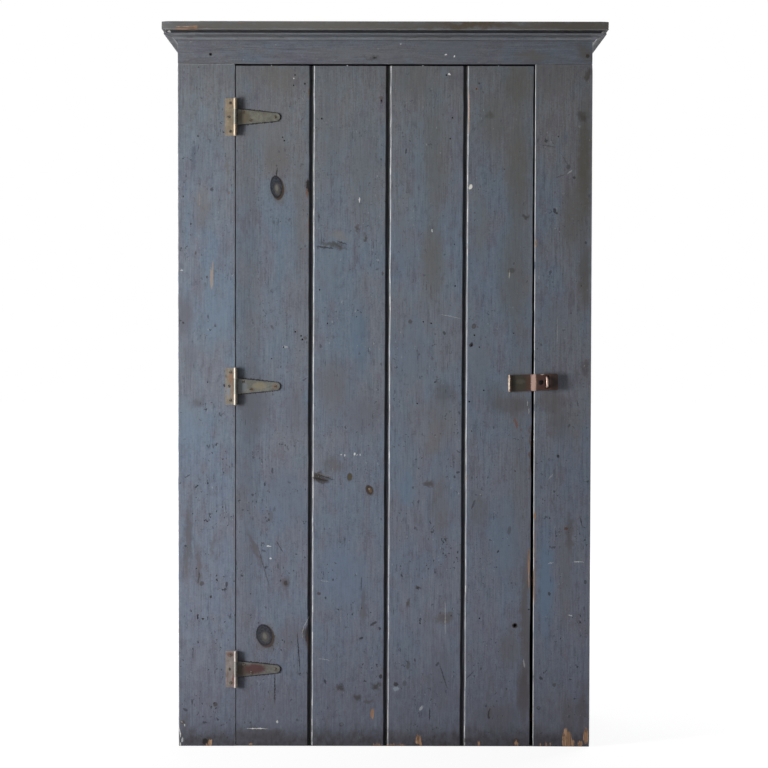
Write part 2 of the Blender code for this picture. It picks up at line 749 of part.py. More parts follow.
def build_staple():
    """The staple in the right stile: two legs and a round crown, bent from one wire."""
    radius = STAPLE_SPREAD / 2
    face = HASP_BARREL_RADIUS + SEAT
    spring = face - STAPLE_PROUD + STAPLE_WIRE / 2 + radius
    points = [(face + STAPLE_DEPTH, -radius)]
    for step in range(CROWN_STEPS + 1):
        angle = HALF_TURN * step / CROWN_STEPS
        points.append((spring - radius * math.sin(angle), -radius * math.cos(angle)))
    points.append((face + STAPLE_DEPTH, radius))
    curve = bpy.data.curves.new("staple", "CURVE")
    curve.dimensions = "3D"
    curve.bevel_depth = STAPLE_WIRE / 2
    curve.bevel_resolution = 2
    curve.use_fill_caps = True
    spline = curve.splines.new("POLY")
    spline.points.add(len(points) - 1)
    for point, (y, z) in zip(spline.points, points):
        point.co = (STAPLE_AT, y, z, 1.0)
    curve.materials.append(HASP_IRON)
    made = bpy.data.objects.new("staple", curve)
    PARTS.objects.link(made)
    made.location = HASP_AXIS
    made.rotation_euler = hasp_turn().to_euler()


build_case()
build_stiles()
build_moulding()
DOOR_EMPTY = empty("door_hinge_axis", HINGE_AXIS)
HASP_EMPTY = empty("hasp_hinge_axis", HASP_AXIS)
HASP_EMPTY.rotation_euler = hasp_turn().to_euler()
build_door(DOOR_EMPTY)
for hinge_name, hinge_height in HINGE_HEIGHTS.items():
    build_hinge(hinge_name, hinge_height, DOOR_EMPTY)
build_hasp(DOOR_EMPTY, HASP_EMPTY)
build_staple()
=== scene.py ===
"""Looks of an old painted single-door cupboard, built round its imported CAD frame."""

import math
import random

import bmesh
import bpy
from mathutils import Matrix, Vector


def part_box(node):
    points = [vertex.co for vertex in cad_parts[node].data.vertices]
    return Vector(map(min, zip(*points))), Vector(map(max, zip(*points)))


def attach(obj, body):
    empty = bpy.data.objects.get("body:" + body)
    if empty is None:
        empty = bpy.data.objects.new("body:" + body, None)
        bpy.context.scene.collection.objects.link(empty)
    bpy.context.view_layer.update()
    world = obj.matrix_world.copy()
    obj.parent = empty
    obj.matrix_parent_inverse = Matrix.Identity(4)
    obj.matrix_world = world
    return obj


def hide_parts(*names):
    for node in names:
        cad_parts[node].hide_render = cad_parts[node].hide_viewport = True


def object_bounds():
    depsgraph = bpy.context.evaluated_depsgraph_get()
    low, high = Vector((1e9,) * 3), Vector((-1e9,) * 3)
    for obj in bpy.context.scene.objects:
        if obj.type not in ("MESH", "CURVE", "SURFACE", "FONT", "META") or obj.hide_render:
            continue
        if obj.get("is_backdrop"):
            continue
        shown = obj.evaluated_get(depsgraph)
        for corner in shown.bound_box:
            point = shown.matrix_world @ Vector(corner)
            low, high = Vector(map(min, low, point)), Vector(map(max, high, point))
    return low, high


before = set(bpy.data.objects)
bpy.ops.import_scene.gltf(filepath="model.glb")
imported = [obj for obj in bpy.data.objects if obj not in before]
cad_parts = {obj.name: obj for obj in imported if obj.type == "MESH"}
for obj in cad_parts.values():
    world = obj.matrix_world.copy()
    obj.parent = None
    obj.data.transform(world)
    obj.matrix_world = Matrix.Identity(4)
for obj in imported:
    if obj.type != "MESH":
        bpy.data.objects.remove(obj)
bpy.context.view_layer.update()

# Places read from the frame, in metres
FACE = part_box("stile_left")[0].y
CASE_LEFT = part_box("stile_left")[0].x
CASE_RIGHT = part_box("stile_right")[1].x
TOP_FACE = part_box("top_board")[0].y

# Door joints, as in the CAD source
DOOR_LEAN = 0.0045
CHAMFER = 0.005
# How far the inner part of a chamfer reaches; it takes painted shade, and the outer part rubbed
# paint with a painted highlight
INNER_CHAMFER = 0.0034
TONGUE_THICK = 0.0065
TONGUE_LENGTH = 0.0085
GROOVE_THICK = 0.0075
GROOVE_DEPTH = 0.007

# Ironwork, as in the CAD source
GAP = 0.0003  # between pieces that touch
KNUCKLE_PLAY = 0.0005  # between a plate and the knuckles of the other one
PLATE_THICK = 0.0017
BARREL_RADIUS = 0.0045
PIN_RADIUS = 0.0022
PIN_BORE = 0.0025
LEAF_NOTCH = 0.035
STRAP_ROOT = 0.035
STRAP_TIP = 0.016
STRAP_LENGTH = 0.102
SCREW_HOLE = 0.0021
SCREW_SINK = 0.0036
SCREW_HEAD = 0.0034
SCREW_PROUD = 0.0006
HINGE_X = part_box("hinge_top_pin")[0].x + PIN_RADIUS
HINGE_HEIGHTS = {
    name: (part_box(f"hinge_{name}_leaf")[0].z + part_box(f"hinge_{name}_leaf")[1].z) / 2
    for name in ("top", "middle", "bottom")
}
LEAF_SCREWS = {"upper": (-0.012, 0.0325), "centre": (-0.0154, 0.0), "lower": (-0.012, -0.0325)}
STRAP_SCREWS = {"upper": (0.018, 0.011), "lower": (0.035, -0.0073), "tip": (0.0915, 0.0)}
HASP_PLACE = Vector((0.2899, -0.188, 0.8455))
HASP_TILT = math.radians(2.4)
HASP_HALF = 0.019
HASP_THIRD = 0.038 / 6
HASP_KNUCKLE = 0.0042
HASP_PIN_RADIUS = 0.0018
HASP_PIN_HALF = 0.0202
HASP_BORE = 0.0021
HASP_SCREWS = {"lower": (0.0252, -0.0115), "upper": (0.0252, 0.0115)}
STAPLE_X = 0.0850
STAPLE_RADIUS = 0.0105
STAPLE_WIRE = 0.0026
QUARTER_TURN = math.radians(90)


# Modelling, as at the bench


def only(obj):
    """Make this the one object selected and at hand."""
    bpy.ops.object.select_all(action="DESELECT")
    obj.select_set(True)
    bpy.context.view_layer.objects.active = obj


def open_mesh(obj):
    only(obj)
    bpy.ops.object.mode_set(mode="EDIT")


def close_mesh():
    bpy.ops.object.mode_set(mode="OBJECT")


def settle():
    """Put a new object's place, turn and size into its mesh."""
    bpy.ops.object.transform_apply(location=True, rotation=True, scale=True)


def block(name, low, high):
    """A sawn block between two opposite corners."""
    low = Vector(low)
    high = Vector(high)
    bpy.ops.object.select_all(action="DESELECT")
    bpy.ops.mesh.primitive_cube_add(size=1, location=(low + high) / 2, scale=high - low)
    settle()
    obj = bpy.context.object
    obj.name = name
    return obj


def rod(name, start, end, radius, end_radius=None, sides=32):
    """A round bar, or a taper, from one point to another."""
    start = Vector(start)
    end = Vector(end)
    turn = (end - start).to_track_quat("Z", "Y").to_euler()
    bpy.ops.object.select_all(action="DESELECT")
    bpy.ops.mesh.primitive_cone_add(
        vertices=sides,
        radius1=radius,
        radius2=radius if end_radius is None else end_radius,
        depth=(end - start).length,
        location=(start + end) / 2,
        rotation=turn,
    )
    settle()
    obj = bpy.context.object
    obj.name = name
    return obj


def pick(obj, kind, test):
    """Select the vertices, edges or faces that pass a test, and nothing else."""
    bpy.ops.mesh.select_mode(type=kind)
    bpy.ops.mesh.select_all(action="DESELECT")
    bm = bmesh.from_edit_mesh(obj.data)
    for item in {"VERT": bm.verts, "EDGE": bm.edges, "FACE": bm.faces}[kind]:
        if test(item):
            item.select_set(True)
    bm.select_flush_mode()
    bmesh.update_edit_mesh(obj.data)


def runs_along(axis):
    """A test for edges that run along one axis, give or take a small lean."""

    def test(edge):
        way = edge.verts[1].co - edge.verts[0].co
        return way.length > 0 and abs(way[axis]) / way.length > 0.99

    return test


def apply_modifiers(obj):
    only(obj)
    for modifier in list(obj.modifiers):
        bpy.ops.object.modifier_apply(modifier=modifier.name)


def combine(obj, tool, operation="DIFFERENCE"):
    """Cut a tool out of a piece, or add it, and put the tool away."""
    change = obj.modifiers.new("combine", "BOOLEAN")
    change.operation = operation
    change.object = tool
    change.solver = "MANIFOLD"
    apply_modifiers(obj)
    if not obj.data.polygons:
        raise ValueError(f"nothing is left of {obj.name} after the cut")
    bpy.data.objects.remove(tool, do_unlink=True)


def ease(obj, width, segments=2, angle=30):
    """Make each flat side one face again, then take the sharp arris off every corner."""
    open_mesh(obj)
    bpy.ops.mesh.select_all(action="SELECT")
    bpy.ops.mesh.dissolve_limited(angle_limit=math.radians(0.5))
    close_mesh()
    change = obj.modifiers.new("ease", "BEVEL")
    change.width = width
    change.segments = segments
    change.limit_method = "ANGLE"
    change.angle_limit = math.radians(angle)
    apply_modifiers(obj)


def shade(obj, angle=35):
    only(obj)
    bpy.ops.object.shade_smooth_by_angle(angle=math.radians(angle))
    # Large faces keep their own flat shading, and only the narrow ones round over
    change = obj.modifiers.new("weigh", "WEIGHTED_NORMAL")
    change.weight = 100
    change.keep_sharp = True
    apply_modifiers(obj)


def batter(obj, group, strength, size, seed, direction="NORMAL"):
    """Knock the named corners about unevenly, inwards."""
    texture = bpy.data.textures.new(obj.name + "_knocks", "CLOUDS")
    texture.noise_scale = size
    texture.noise_depth = 3
    texture.contrast = 1.6
    offset = bpy.data.objects.new("knock_place", None)
    bpy.context.scene.collection.objects.link(offset)
    offset.location = (seed * 0.731, seed * 0.417, seed * 0.293)
    bpy.context.view_layer.update()
    change = obj.modifiers.new("batter", "DISPLACE")
    change.texture = texture
    change.texture_coords = "OBJECT"
    change.texture_coords_object = offset
    change.vertex_group = group
    change.direction = direction
    change.strength = strength
    change.mid_level = 0.0 if direction == "NORMAL" else 0.5
    apply_modifiers(obj)
    bpy.data.objects.remove(offset, do_unlink=True)


def name_vertices(obj, group, test):
    """Put the vertices that pass a test in a named group."""
    chosen = [vert.index for vert in obj.data.vertices if test(vert)]
    obj.vertex_groups.new(name=group).add(chosen, 1.0, "REPLACE")


def mark_faces(obj, name, amount):
    """Write a number on each face, for the finish to read."""
    layer = obj.data.attributes.get(name) or obj.data.attributes.new(name, "FLOAT", "FACE")
    layer.data.foreach_set("value", [amount(face) for face in obj.data.polygons])


def mark_arrises(obj, share=1.0):
    """Corners that hands and knocks have rubbed: every face that isn't square to the board."""

    def worn_and_lit(face):
        square = max(abs(c) for c in face.normal)
        return share * min(1.0, max(0.0, (0.985 - square) / 0.05))

    mark_faces(obj, "wear_and_highlight", worn_and_lit)


# Finishes


class Tree:
    """A node tree in the making, with short ways to add to it."""

    def __init__(self, tree):
        self.nodes = tree.nodes
        self.links = tree.links

    def new(self, kind, **settings):
        """Add a node, with the settings that are named."""
        node = self.nodes.new("ShaderNode" + kind)
        for name, value in settings.items():
            setattr(node, name, value)
        return node

    def put(self, socket, value):
        """Link a socket, or write a number or a colour in it."""
        if isinstance(value, bpy.types.NodeSocket):
            self.links.new(value, socket)
        elif isinstance(value, tuple) and len(value) == 3 and socket.type == "RGBA":
            socket.default_value = (*value, 1.0)
        else:
            socket.default_value = value

    def fill(self, node, *values):
        """Write a node's first inputs in their order, and give the node back."""
        for socket, value in zip(node.inputs, values):
            self.put(socket, value)
        return node

    def maths(self, operation, *values, clamp=False):
        return self.fill(self.new("Math", operation=operation, use_clamp=clamp), *values).outputs[0]

    def vector(self, operation, *values):
        node = self.fill(self.new("VectorMath", operation=operation), *values)
        return node.outputs["Value" if operation == "LENGTH" else "Vector"]

    def mix(self, amount, first, second, blend="MIX"):
        node = self.new("Mix", data_type="RGBA", blend_type=blend)
        self.put(node.inputs[0], amount)
        self.put(node.inputs[6], first)
        self.put(node.inputs[7], second)
        return node.outputs[2]

    def between(self, value, low, high, to_low=0.0, to_high=1.0):
        """Turn a span of one number softly into a span of another, and hold it there."""
        node = self.new("MapRange", interpolation_type="SMOOTHSTEP")
        return self.fill(node, value, low, high, to_low, to_high).outputs[0]


class Finish(Tree):
    """A material in the making."""

    def __init__(self, name):
        self.material = bpy.data.materials.new(name)
        self.material.use_nodes = True
        super().__init__(self.material.node_tree)
        self.shader = self.nodes["Principled BSDF"]
        self.place = self.new("TexCoord").outputs["Object"]

    def noise(self, place, scale, detail=3.0, roughness=0.5, colour=False):
        node = self.new("TexNoise")
        self.put(node.inputs["Vector"], place)
        node.inputs["Scale"].default_value = scale
        node.inputs["Detail"].default_value = detail
        node.inputs["Roughness"].default_value = roughness
        return node.outputs[1 if colour else 0]

    def wandering(self, place, scale, detail=4.0, roughness=0.6):
        """A random drift round zero, for each axis its own."""
        drift = self.noise(place, scale, detail, roughness, colour=True)
        return self.vector("SUBTRACT", drift, (0.5, 0.5, 0.5))

    def strayed(self, drift, amount):
        """The object's own place, drifted by so much along each axis."""
        return self.vector("ADD", self.place, self.vector("MULTIPLY", drift, amount))

    def cells(self, place, scale):
        """Scattered dots: the distance to the nearest, and a number of its own for each."""
        node = self.new("TexVoronoi")
        self.put(node.inputs["Vector"], place)
        node.inputs["Scale"].default_value = scale
        return node.outputs["Distance"], node.outputs["Color"]

    def moved(self, place, location=(0, 0, 0), rotation=(0, 0, 0), scale=(1, 1, 1), kind="POINT"):
        node = self.new("Mapping", vector_type=kind)
        self.put(node.inputs["Vector"], place)
        node.inputs["Location"].default_value = location
        node.inputs["Rotation"].default_value = rotation
        node.inputs["Scale"].default_value = scale
        return node.outputs[0]

    def turned(self, place, order):
        """The place with its axes in another order, such as zyx for a board that lies flat."""
        if order == "xyz":
            return place
        parts = self.fill(self.new("SeparateXYZ"), place).outputs
        ordered = [parts["xyz".index(axis)] for axis in order]
        return self.fill(self.new("CombineXYZ"), *ordered).outputs[0]

    def attribute(self, name):
        return self.new("Attribute", attribute_name=name).outputs["Fac"]

    def oval(self, place, x, z, wide, tall, turn=0.0, front=0.0, deep=60.0):
        """How far a point is from an oval's middle: 1 on its edge, and never more than 1.6.

        front, deep: where its middle lies from front to back, and how deep it goes into the board.
        """
        reach = 1.6
        turns = (0, math.radians(turn), 0)
        size = (wide * reach, deep * reach, tall * reach)
        ball = self.new("TexGradient", gradient_type="SPHERICAL")
        self.put(ball.inputs[0], self.moved(place, (x, front, z), turns, size, "TEXTURE"))
        return self.maths("MULTIPLY_ADD", ball.outputs["Fac"], -reach, reach)

    def bump(self, height, distance):
        node = self.new("Bump")
        node.inputs["Strength"].default_value = 1.0
        node.inputs["Distance"].default_value = distance
        self.put(node.inputs["Height"], height)
        return node.outputs[0]

    def done(self, colour, roughness, normal, metallic=0.0, specular=0.5):
        self.put(self.shader.inputs["Base Color"], colour)
        self.put(self.shader.inputs["Roughness"], roughness)
        self.put(self.shader.inputs["Metallic"], metallic)
        self.shader.inputs["Specular IOR Level"].default_value = specular
        self.put(self.shader.inputs["Normal"], normal)
        return self.material


# How deep a stain or a mark goes from a board's front, so that its back stays clean
SKIN_DEPTH = 0.016

# Colours of the paint, of what lies on it and of the wood beneath
PAINT_BLUE = (0.107, 0.139, 0.187)
PAINT_GREY = (0.122, 0.133, 0.159)
PAINT_PALE = (0.165, 0.195, 0.235)
PAINT_WORN_AND_LIT = (0.36, 0.37, 0.38)
OLIVE = (0.085, 0.080, 0.062)
BROWN = (0.050, 0.036, 0.026)
PURPLE = (0.098, 0.100, 0.122)
SMOKED = (0.116, 0.113, 0.110)
LOWER_BLUE = (0.112, 0.123, 0.176)
PLUM_CAST = (0.108, 0.106, 0.132)
BLUE_CAST = (0.104, 0.140, 0.178)
MOTTLE_PALE = (0.134, 0.158, 0.194)
MOTTLE_DARK = (0.068, 0.074, 0.094)
STREAK_DARK = (0.060, 0.066, 0.084)
THREAD_PALE = (0.170, 0.190, 0.220)
THREAD_DARK = (0.050, 0.056, 0.070)
GRIT_PALE = (0.185, 0.200, 0.220)
GRIT_DARK = (0.045, 0.048, 0.060)
CORNICE_SHADE = (0.060, 0.059, 0.060)
SPLASH = (0.066, 0.067, 0.088)
FLOOR_DIRT = (0.032, 0.028, 0.030)
FLECK_DARK = (0.018, 0.018, 0.024)
DASH_DARK = (0.028, 0.030, 0.040)
KNOT_HALO = (0.082, 0.074, 0.066)
KNOT_CRESCENT = (0.040, 0.027, 0.020)
KNOT_DARK = (0.010, 0.013, 0.020)
KNOT_PALE = (0.034, 0.037, 0.048)
KNOT_EDGE = (0.006, 0.006, 0.008)
KNOT_HEART = (0.070, 0.064, 0.058)
KNOT_CORE = (0.125, 0.120, 0.110)
BARE_WOOD = (0.240, 0.140, 0.084)
BARE_DARK = (0.095, 0.058, 0.040)
BARE_PALE = (0.420, 0.300, 0.215)
BARE_DULL = (0.080, 0.050, 0.036)
GRIME_AND_SHADE = (0.012, 0.011, 0.011)
CHALK = (0.60, 0.60, 0.58)


def paint(
    name,
    seed,
    grain="xyz",
    stains=(),
    knots=(),
    bare=(),
    marks=(),
    floor_dirt=True,
    speckle=1.0,
    upper_grey=0.0,
    tone=None,
    front=FACE,
):
    """Old blue-grey oil paint on pine.

    grain: axes in the order across, depth, along the board.
    stains: (x, z, wide, tall, turn, colour, amount) soft patches.
    knots: (x, z, wide, tall, turn, strength) with a dark ring and a lighter heart.
    bare: (x, z, wide, tall, turn) paint gone to the wood, with splintered ends.
    marks: (x, z, wide, tall, turn, colour, amount) small hard marks, scratches and cracks.
    tone: a colour that the paint is multiplied by.
    front: where the front face lies, which carries the stains, the marks and the bare places.
    """
    skin = dict(front=front, deep=SKIN_DEPTH)
    f = Finish(name)
    shifted = f.moved(f.place, (seed * 3.17, seed * 1.93, seed * 2.31))
    boards = f.turned(shifted, grain)
    soft_place = f.strayed(f.wandering(shifted, 45.0), (0.030, 0.0, 0.045))
    fine = f.wandering(shifted, 330.0, 3.0)
    fine_place = f.strayed(fine, (0.0050, 0.0, 0.0070))
    fibres = f.wandering(f.moved(boards, scale=(1.0, 1.0, 0.03)), 620.0, 2.0, 0.5)
    splinter_place = f.strayed(fibres, (0.002, 0.0, 0.022))
    up = f.fill(f.new("SeparateXYZ"), soft_place).outputs["Z"]

    # Round a knot the grain swells out and closes again
    flow = boards
    for x, z, wide, tall, turn, strength in knots:
        far = f.oval(f.place, x, z, wide * 2.6, tall * 2.4, turn)
        near = f.between(far, 1.0, 0.0, 0.0, 0.8)
        aside = f.vector("SUBTRACT", f.place, (x, 0.0, z))
        aside = f.vector("MULTIPLY", aside, (1.0, 0.0, 0.0))
        swell = f.new("VectorMath", operation="SCALE")
        f.put(swell.inputs[0], aside)
        f.put(swell.inputs["Scale"], near)
        flow = f.vector("SUBTRACT", flow, swell.outputs[0])

    # Broad drift of tone, soft mottling, then short streaks along the grain
    cloud = f.noise(f.moved(boards, scale=(1.0, 1.0, 0.45)), 11.0, 3.0, 0.5)
    patch = f.noise(f.moved(boards, (3.1, 0.7, 1.3), scale=(1.0, 1.0, 0.5)), 34.0, 4.0, 0.55)
    mottle = f.noise(f.moved(boards, (0.9, 4.7, 2.3), scale=(1.0, 1.0, 0.6)), 95.0, 4.0, 0.6)
    streak = f.noise(f.moved(flow, scale=(1.0, 1.0, 0.04)), 150.0, 4.0, 0.6)
    thread = f.noise(f.moved(flow, scale=(1.0, 1.0, 0.05)), 400.0, 3.0, 0.6)
    grit = f.noise(shifted, 290.0, 4.0, 0.75)
    colour = f.mix(f.between(cloud, 0.40, 0.60), PAINT_BLUE, PAINT_GREY)
    layers = (
        # What is read, where the layer starts and where it is full, how much it covers, its colour
        (up, 1.15, 1.55, 0.70 + upper_grey, SMOKED),
        (up, 0.95, 0.30, 0.55, LOWER_BLUE),
        (patch, 0.50, 0.66, 0.65, PLUM_CAST),
        (patch, 0.48, 0.34, 0.45, BLUE_CAST),
        (mottle, 0.52, 0.70, 0.42, MOTTLE_PALE),
        (mottle, 0.48, 0.30, 0.46, MOTTLE_DARK),
        (streak, 0.50, 0.72, 0.20, PAINT_PALE),
        (streak, 0.48, 0.28, 0.23, STREAK_DARK),
        (thread, 0.50, 0.70, 0.34, THREAD_PALE),
        (thread, 0.50, 0.30, 0.38, THREAD_DARK),
        (grit, 0.52, 0.72, 0.42, GRIT_PALE),
        (grit, 0.48, 0.28, 0.52, GRIT_DARK),
    )
    for read, start, full, cover, tint in layers:
        colour = f.mix(f.between(read, start, full, 0.0, cover), colour, tint)

    if tone:
        colour = f.mix(1.0, colour, tone, "MULTIPLY")

    for x, z, wide, tall, turn, tint, amount in stains:
        spot = f.oval(soft_place, x, z, wide, tall, turn, **skin)
        inside = f.between(spot, 1.20, 0.30, 0.0, amount)
        inside = f.maths("MULTIPLY", inside, f.between(grit, 0.25, 0.65, 0.75, 1.0))
        colour = f.mix(inside, colour, tint)

    # Uneven flecks of dirt, small dark strokes along the grain, and rubbed spots
    region = f.noise(shifted, 16.0, 4.0, 0.6)
    fleck = f.noise(f.moved(boards, (5.2, 0.4, 3.3), scale=(1.0, 1.0, 0.75)), 135.0, 4.0, 0.6)
    dense = f.between(up, 1.10, 0.15, 0.60, 1.0)
    share = f.between(region, 0.46, 0.60, 0.03, 1.0)
    share = f.maths("MULTIPLY", share, f.maths("MULTIPLY", dense, speckle))
    rim = f.maths("MULTIPLY", f.between(fleck, 0.575, 0.61), share)
    colour = f.mix(f.maths("MULTIPLY", rim, 0.35, clamp=True), colour, PAINT_PALE)
    fleck = f.maths("MULTIPLY", f.between(fleck, 0.615, 0.645), share)
    colour = f.mix(f.maths("MULTIPLY", fleck, 0.92, clamp=True), colour, FLECK_DARK)
    dash = f.noise(f.moved(boards, (0.4, 2.2, 5.1), scale=(1.0, 1.0, 0.16)), 190.0, 4.0, 0.6)
    dash = f.maths("MULTIPLY", f.between(dash, 0.635, 0.675), share)
    colour = f.mix(f.maths("MULTIPLY", dash, 0.75, clamp=True), colour, DASH_DARK)
    tick = f.noise(f.moved(boards, (7.4, 1.2, 3.1), scale=(1.0, 1.0, 0.5)), 190.0, 4.0, 0.6)
    tick = f.maths("MULTIPLY", f.between(tick, 0.665, 0.70), f.between(region, 0.50, 0.60))
    colour = f.mix(f.maths("MULTIPLY", tick, 0.40), colour, PAINT_WORN_AND_LIT)

    height = f.maths("ADD", f.maths("MULTIPLY", thread, 0.5), f.maths("MULTIPLY", streak, 0.5))
    height = f.maths("SUBTRACT", height, f.maths("MULTIPLY", fleck, 0.4))
    rough = f.between(cloud, 0.3, 0.7, 0.43, 0.56)

    # A knot goes right through its board
    for x, z, wide, tall, turn, strength in knots:
        loose = f.strayed(fine, (0.0030, 0, 0.0040))
        halo = f.oval(soft_place, x + wide * 0.30, z - tall * 0.30, wide * 1.9, tall * 1.7, turn)
        colour = f.mix(f.between(halo, 1.0, 0.5, 0.0, 0.45 * strength), colour, KNOT_HALO)
        crescent = f.oval(loose, x + wide * 0.16, z - tall * 0.10, wide * 1.12, tall * 1.10, turn)
        colour = f.mix(f.between(crescent, 1.06, 0.90, 0.0, strength), colour, KNOT_CRESCENT)
        far = f.oval(loose, x - wide * 0.05, z + tall * 0.05, wide, tall, turn)
        ring = f.mix(f.between(grit, 0.40, 0.60), KNOT_DARK, KNOT_PALE)
        colour = f.mix(f.between(far, 1.04, 0.88, 0.0, strength), colour, ring)
        edge = f.maths("MULTIPLY", f.between(far, 0.84, 0.92), f.between(far, 1.08, 0.98))
        colour = f.mix(f.maths("MULTIPLY", edge, 0.85 * strength), colour, KNOT_EDGE)
        heart = f.oval(loose, x + wide * 0.08, z - tall * 0.14, wide * 0.55, tall * 0.58, turn)
        colour = f.mix(f.between(heart, 1.15, 0.70, 0.0, 0.80 * strength), colour, KNOT_HEART)
        core = f.oval(loose, x + wide * 0.02, z - tall * 0.06, wide * 0.26, tall * 0.34, turn)
        colour = f.mix(f.between(core, 1.2, 0.5, 0.0, 0.85 * strength), colour, KNOT_CORE)
        height = f.maths("SUBTRACT", height, f.maths("MULTIPLY", f.between(far, 1.15, 0.9), 0.5))

    if floor_dirt:
        # Painted shadow under the cornice, at the top of the stiles, sides and door boards
        colour = f.mix(f.between(up, 1.48, 1.575, 0.0, 0.20), colour, CORNICE_SHADE)
        splash = f.between(up, 0.34, 0.03, 0.0, 0.55)
        splash = f.maths("MULTIPLY", splash, f.between(mottle, 0.3, 0.7, 1.0, 0.7))
        colour = f.mix(splash, colour, SPLASH)
        low = f.between(up, 0.062, 0.008, 0.0, 0.92)
        low = f.maths("MULTIPLY", low, f.between(mottle, 0.3, 0.65, 1.0, 0.70))
        colour = f.mix(low, colour, FLOOR_DIRT)

    # Paint rubbed off the corners, down to the wood in places; on the door's chamfers that face the
    # lamp the pale paint is also a painted highlight
    worn_and_lit = f.attribute("wear_and_highlight")
    chips = f.noise(f.moved(boards, scale=(1.0, 1.0, 0.3)), 130.0, 4.0, 0.65)
    lighter = f.maths("MULTIPLY", worn_and_lit, f.between(chips, 0.30, 0.55, 0.25, 1.0))
    colour = f.mix(lighter, colour, PAINT_WORN_AND_LIT)
    to_wood = f.maths("MULTIPLY", worn_and_lit, f.between(chips, 0.62, 0.68))
    # Dirt and painted shade: deep in the door's joints and gaps, on chamfers that face away from
    # the lamp, and in the moulding's hollows
    grime_and_shade = f.attribute("grime_and_shade")
    grime_and_shade = f.maths("MULTIPLY", grime_and_shade, f.between(chips, 0.2, 0.6, 0.97, 0.80))
    colour = f.mix(grime_and_shade, colour, GRIME_AND_SHADE)

    for x, z, wide, tall, turn, tint, amount in marks:
        spot = f.oval(fine_place, x, z, wide, tall, turn, **skin)
        colour = f.mix(f.between(spot, 1.2, 0.8, 0.0, amount), colour, tint)

    gone = to_wood
    for x, z, wide, tall, turn in bare:
        spot = f.oval(splinter_place, x, z, wide, tall, turn, **skin)
        gone = f.maths("MAXIMUM", gone, f.between(spot, 1.12, 0.92))
    bare_grain = fibres_of(f, boards)
    wood = f.mix(f.between(bare_grain, 0.48, 0.30, 0.0, 0.9), BARE_WOOD, BARE_DARK)
    wood = f.mix(f.between(bare_grain, 0.52, 0.68, 0.0, 0.8), wood, BARE_PALE)
    wood = f.mix(f.between(mottle, 0.50, 0.66, 0.0, 0.7), wood, BARE_DULL)
    colour = f.mix(gone, colour, wood)
    height = f.maths("SUBTRACT", height, f.maths("MULTIPLY", gone, 0.8))
    rough = f.maths("ADD", rough, f.maths("MULTIPLY", gone, 0.25), clamp=True)
    rough = f.maths("ADD", rough, f.maths("MULTIPLY", worn_and_lit, -0.12), clamp=True)
    return f.done(colour, rough, f.bump(height, 0.00025), specular=0.20)


def fibres_of(f, boards):
    """The fine lines of bare pine."""
    return f.noise(f.moved(boards, (1.7, 0.3, 0.9), scale=(1.0, 1.0, 0.03)), 480.0, 3.0)


def pine(name, seed, grain="xyz", dark=0.0):
    """Unpainted pine, browned by age, with rings, a few knots and dust."""
    f = Finish(name)
    shifted = f.moved(f.place, (seed * 2.31, seed * 1.37, seed * 3.71))
    boards = f.turned(shifted, grain)
    drift = f.wandering(f.moved(boards, scale=(1.0, 1.0, 0.22)), 5.0, 2.0, 0.5)
    bent = f.vector("ADD", boards, f.vector("MULTIPLY", drift, (0.09, 0.09, 0.0)))
    far, own = f.cells(f.moved(bent, scale=(1.0, 0.4, 0.50)), 5.0)
    knot = f.maths("MULTIPLY", f.between(far, 0.075, 0.045), f.maths("GREATER_THAN", own, 0.62))
    rings = f.new("TexWave", wave_type="BANDS", bands_direction="X")
    f.put(rings.inputs["Vector"], f.moved(bent, scale=(1.0, 1.0, 0.05)))
    rings.inputs["Scale"].default_value = 26.0
    rings.inputs["Distortion"].default_value = 3.0
    rings.inputs["Detail"].default_value = 3.0
    rings.inputs["Detail Scale"].default_value = 1.4
    fine = fibres_of(f, boards)
    cloud = f.noise(f.moved(boards, (4.4, 1.9, 0.6), scale=(1.0, 1.0, 0.30)), 12.0, 5.0, 0.6)
    own_tone = 0.84 + 0.30 * (seed * 0.618 % 1.0)
    light = tuple(c * own_tone for c in (0.235, 0.150, 0.086))
    dark_ring = tuple(c * own_tone for c in (0.165, 0.095, 0.052))
    colour = f.mix(f.between(rings.outputs["Fac"], 0.15, 0.95), light, dark_ring)
    colour = f.mix(f.between(fine, 0.3, 0.7, 0.0, 0.35), colour, (0.12, 0.070, 0.040))
    colour = f.mix(f.between(cloud, 0.48, 0.75, 0.0, 0.40 + dark), colour, (0.120, 0.080, 0.052))
    colour = f.mix(f.maths("MULTIPLY", knot, 0.88), colour, (0.060, 0.032, 0.018))
    dust = f.noise(shifted, 60.0, 5.0, 0.7)
    colour = f.mix(f.between(dust, 0.55, 0.78, 0.0, 0.35), colour, (0.26, 0.225, 0.185))
    colour = f.mix(f.maths("MULTIPLY", f.attribute("wear_and_highlight"), 0.35), colour, (0.42, 0.28, 0.16))
    height = f.maths("MULTIPLY", rings.outputs["Fac"], 0.3)
    height = f.maths("ADD", height, f.maths("MULTIPLY", fine, 0.5))
    rough = f.between(cloud, 0.3, 0.7, 0.62, 0.80)
    return f.done(colour, rough, f.bump(height, 0.0003), specular=0.3)


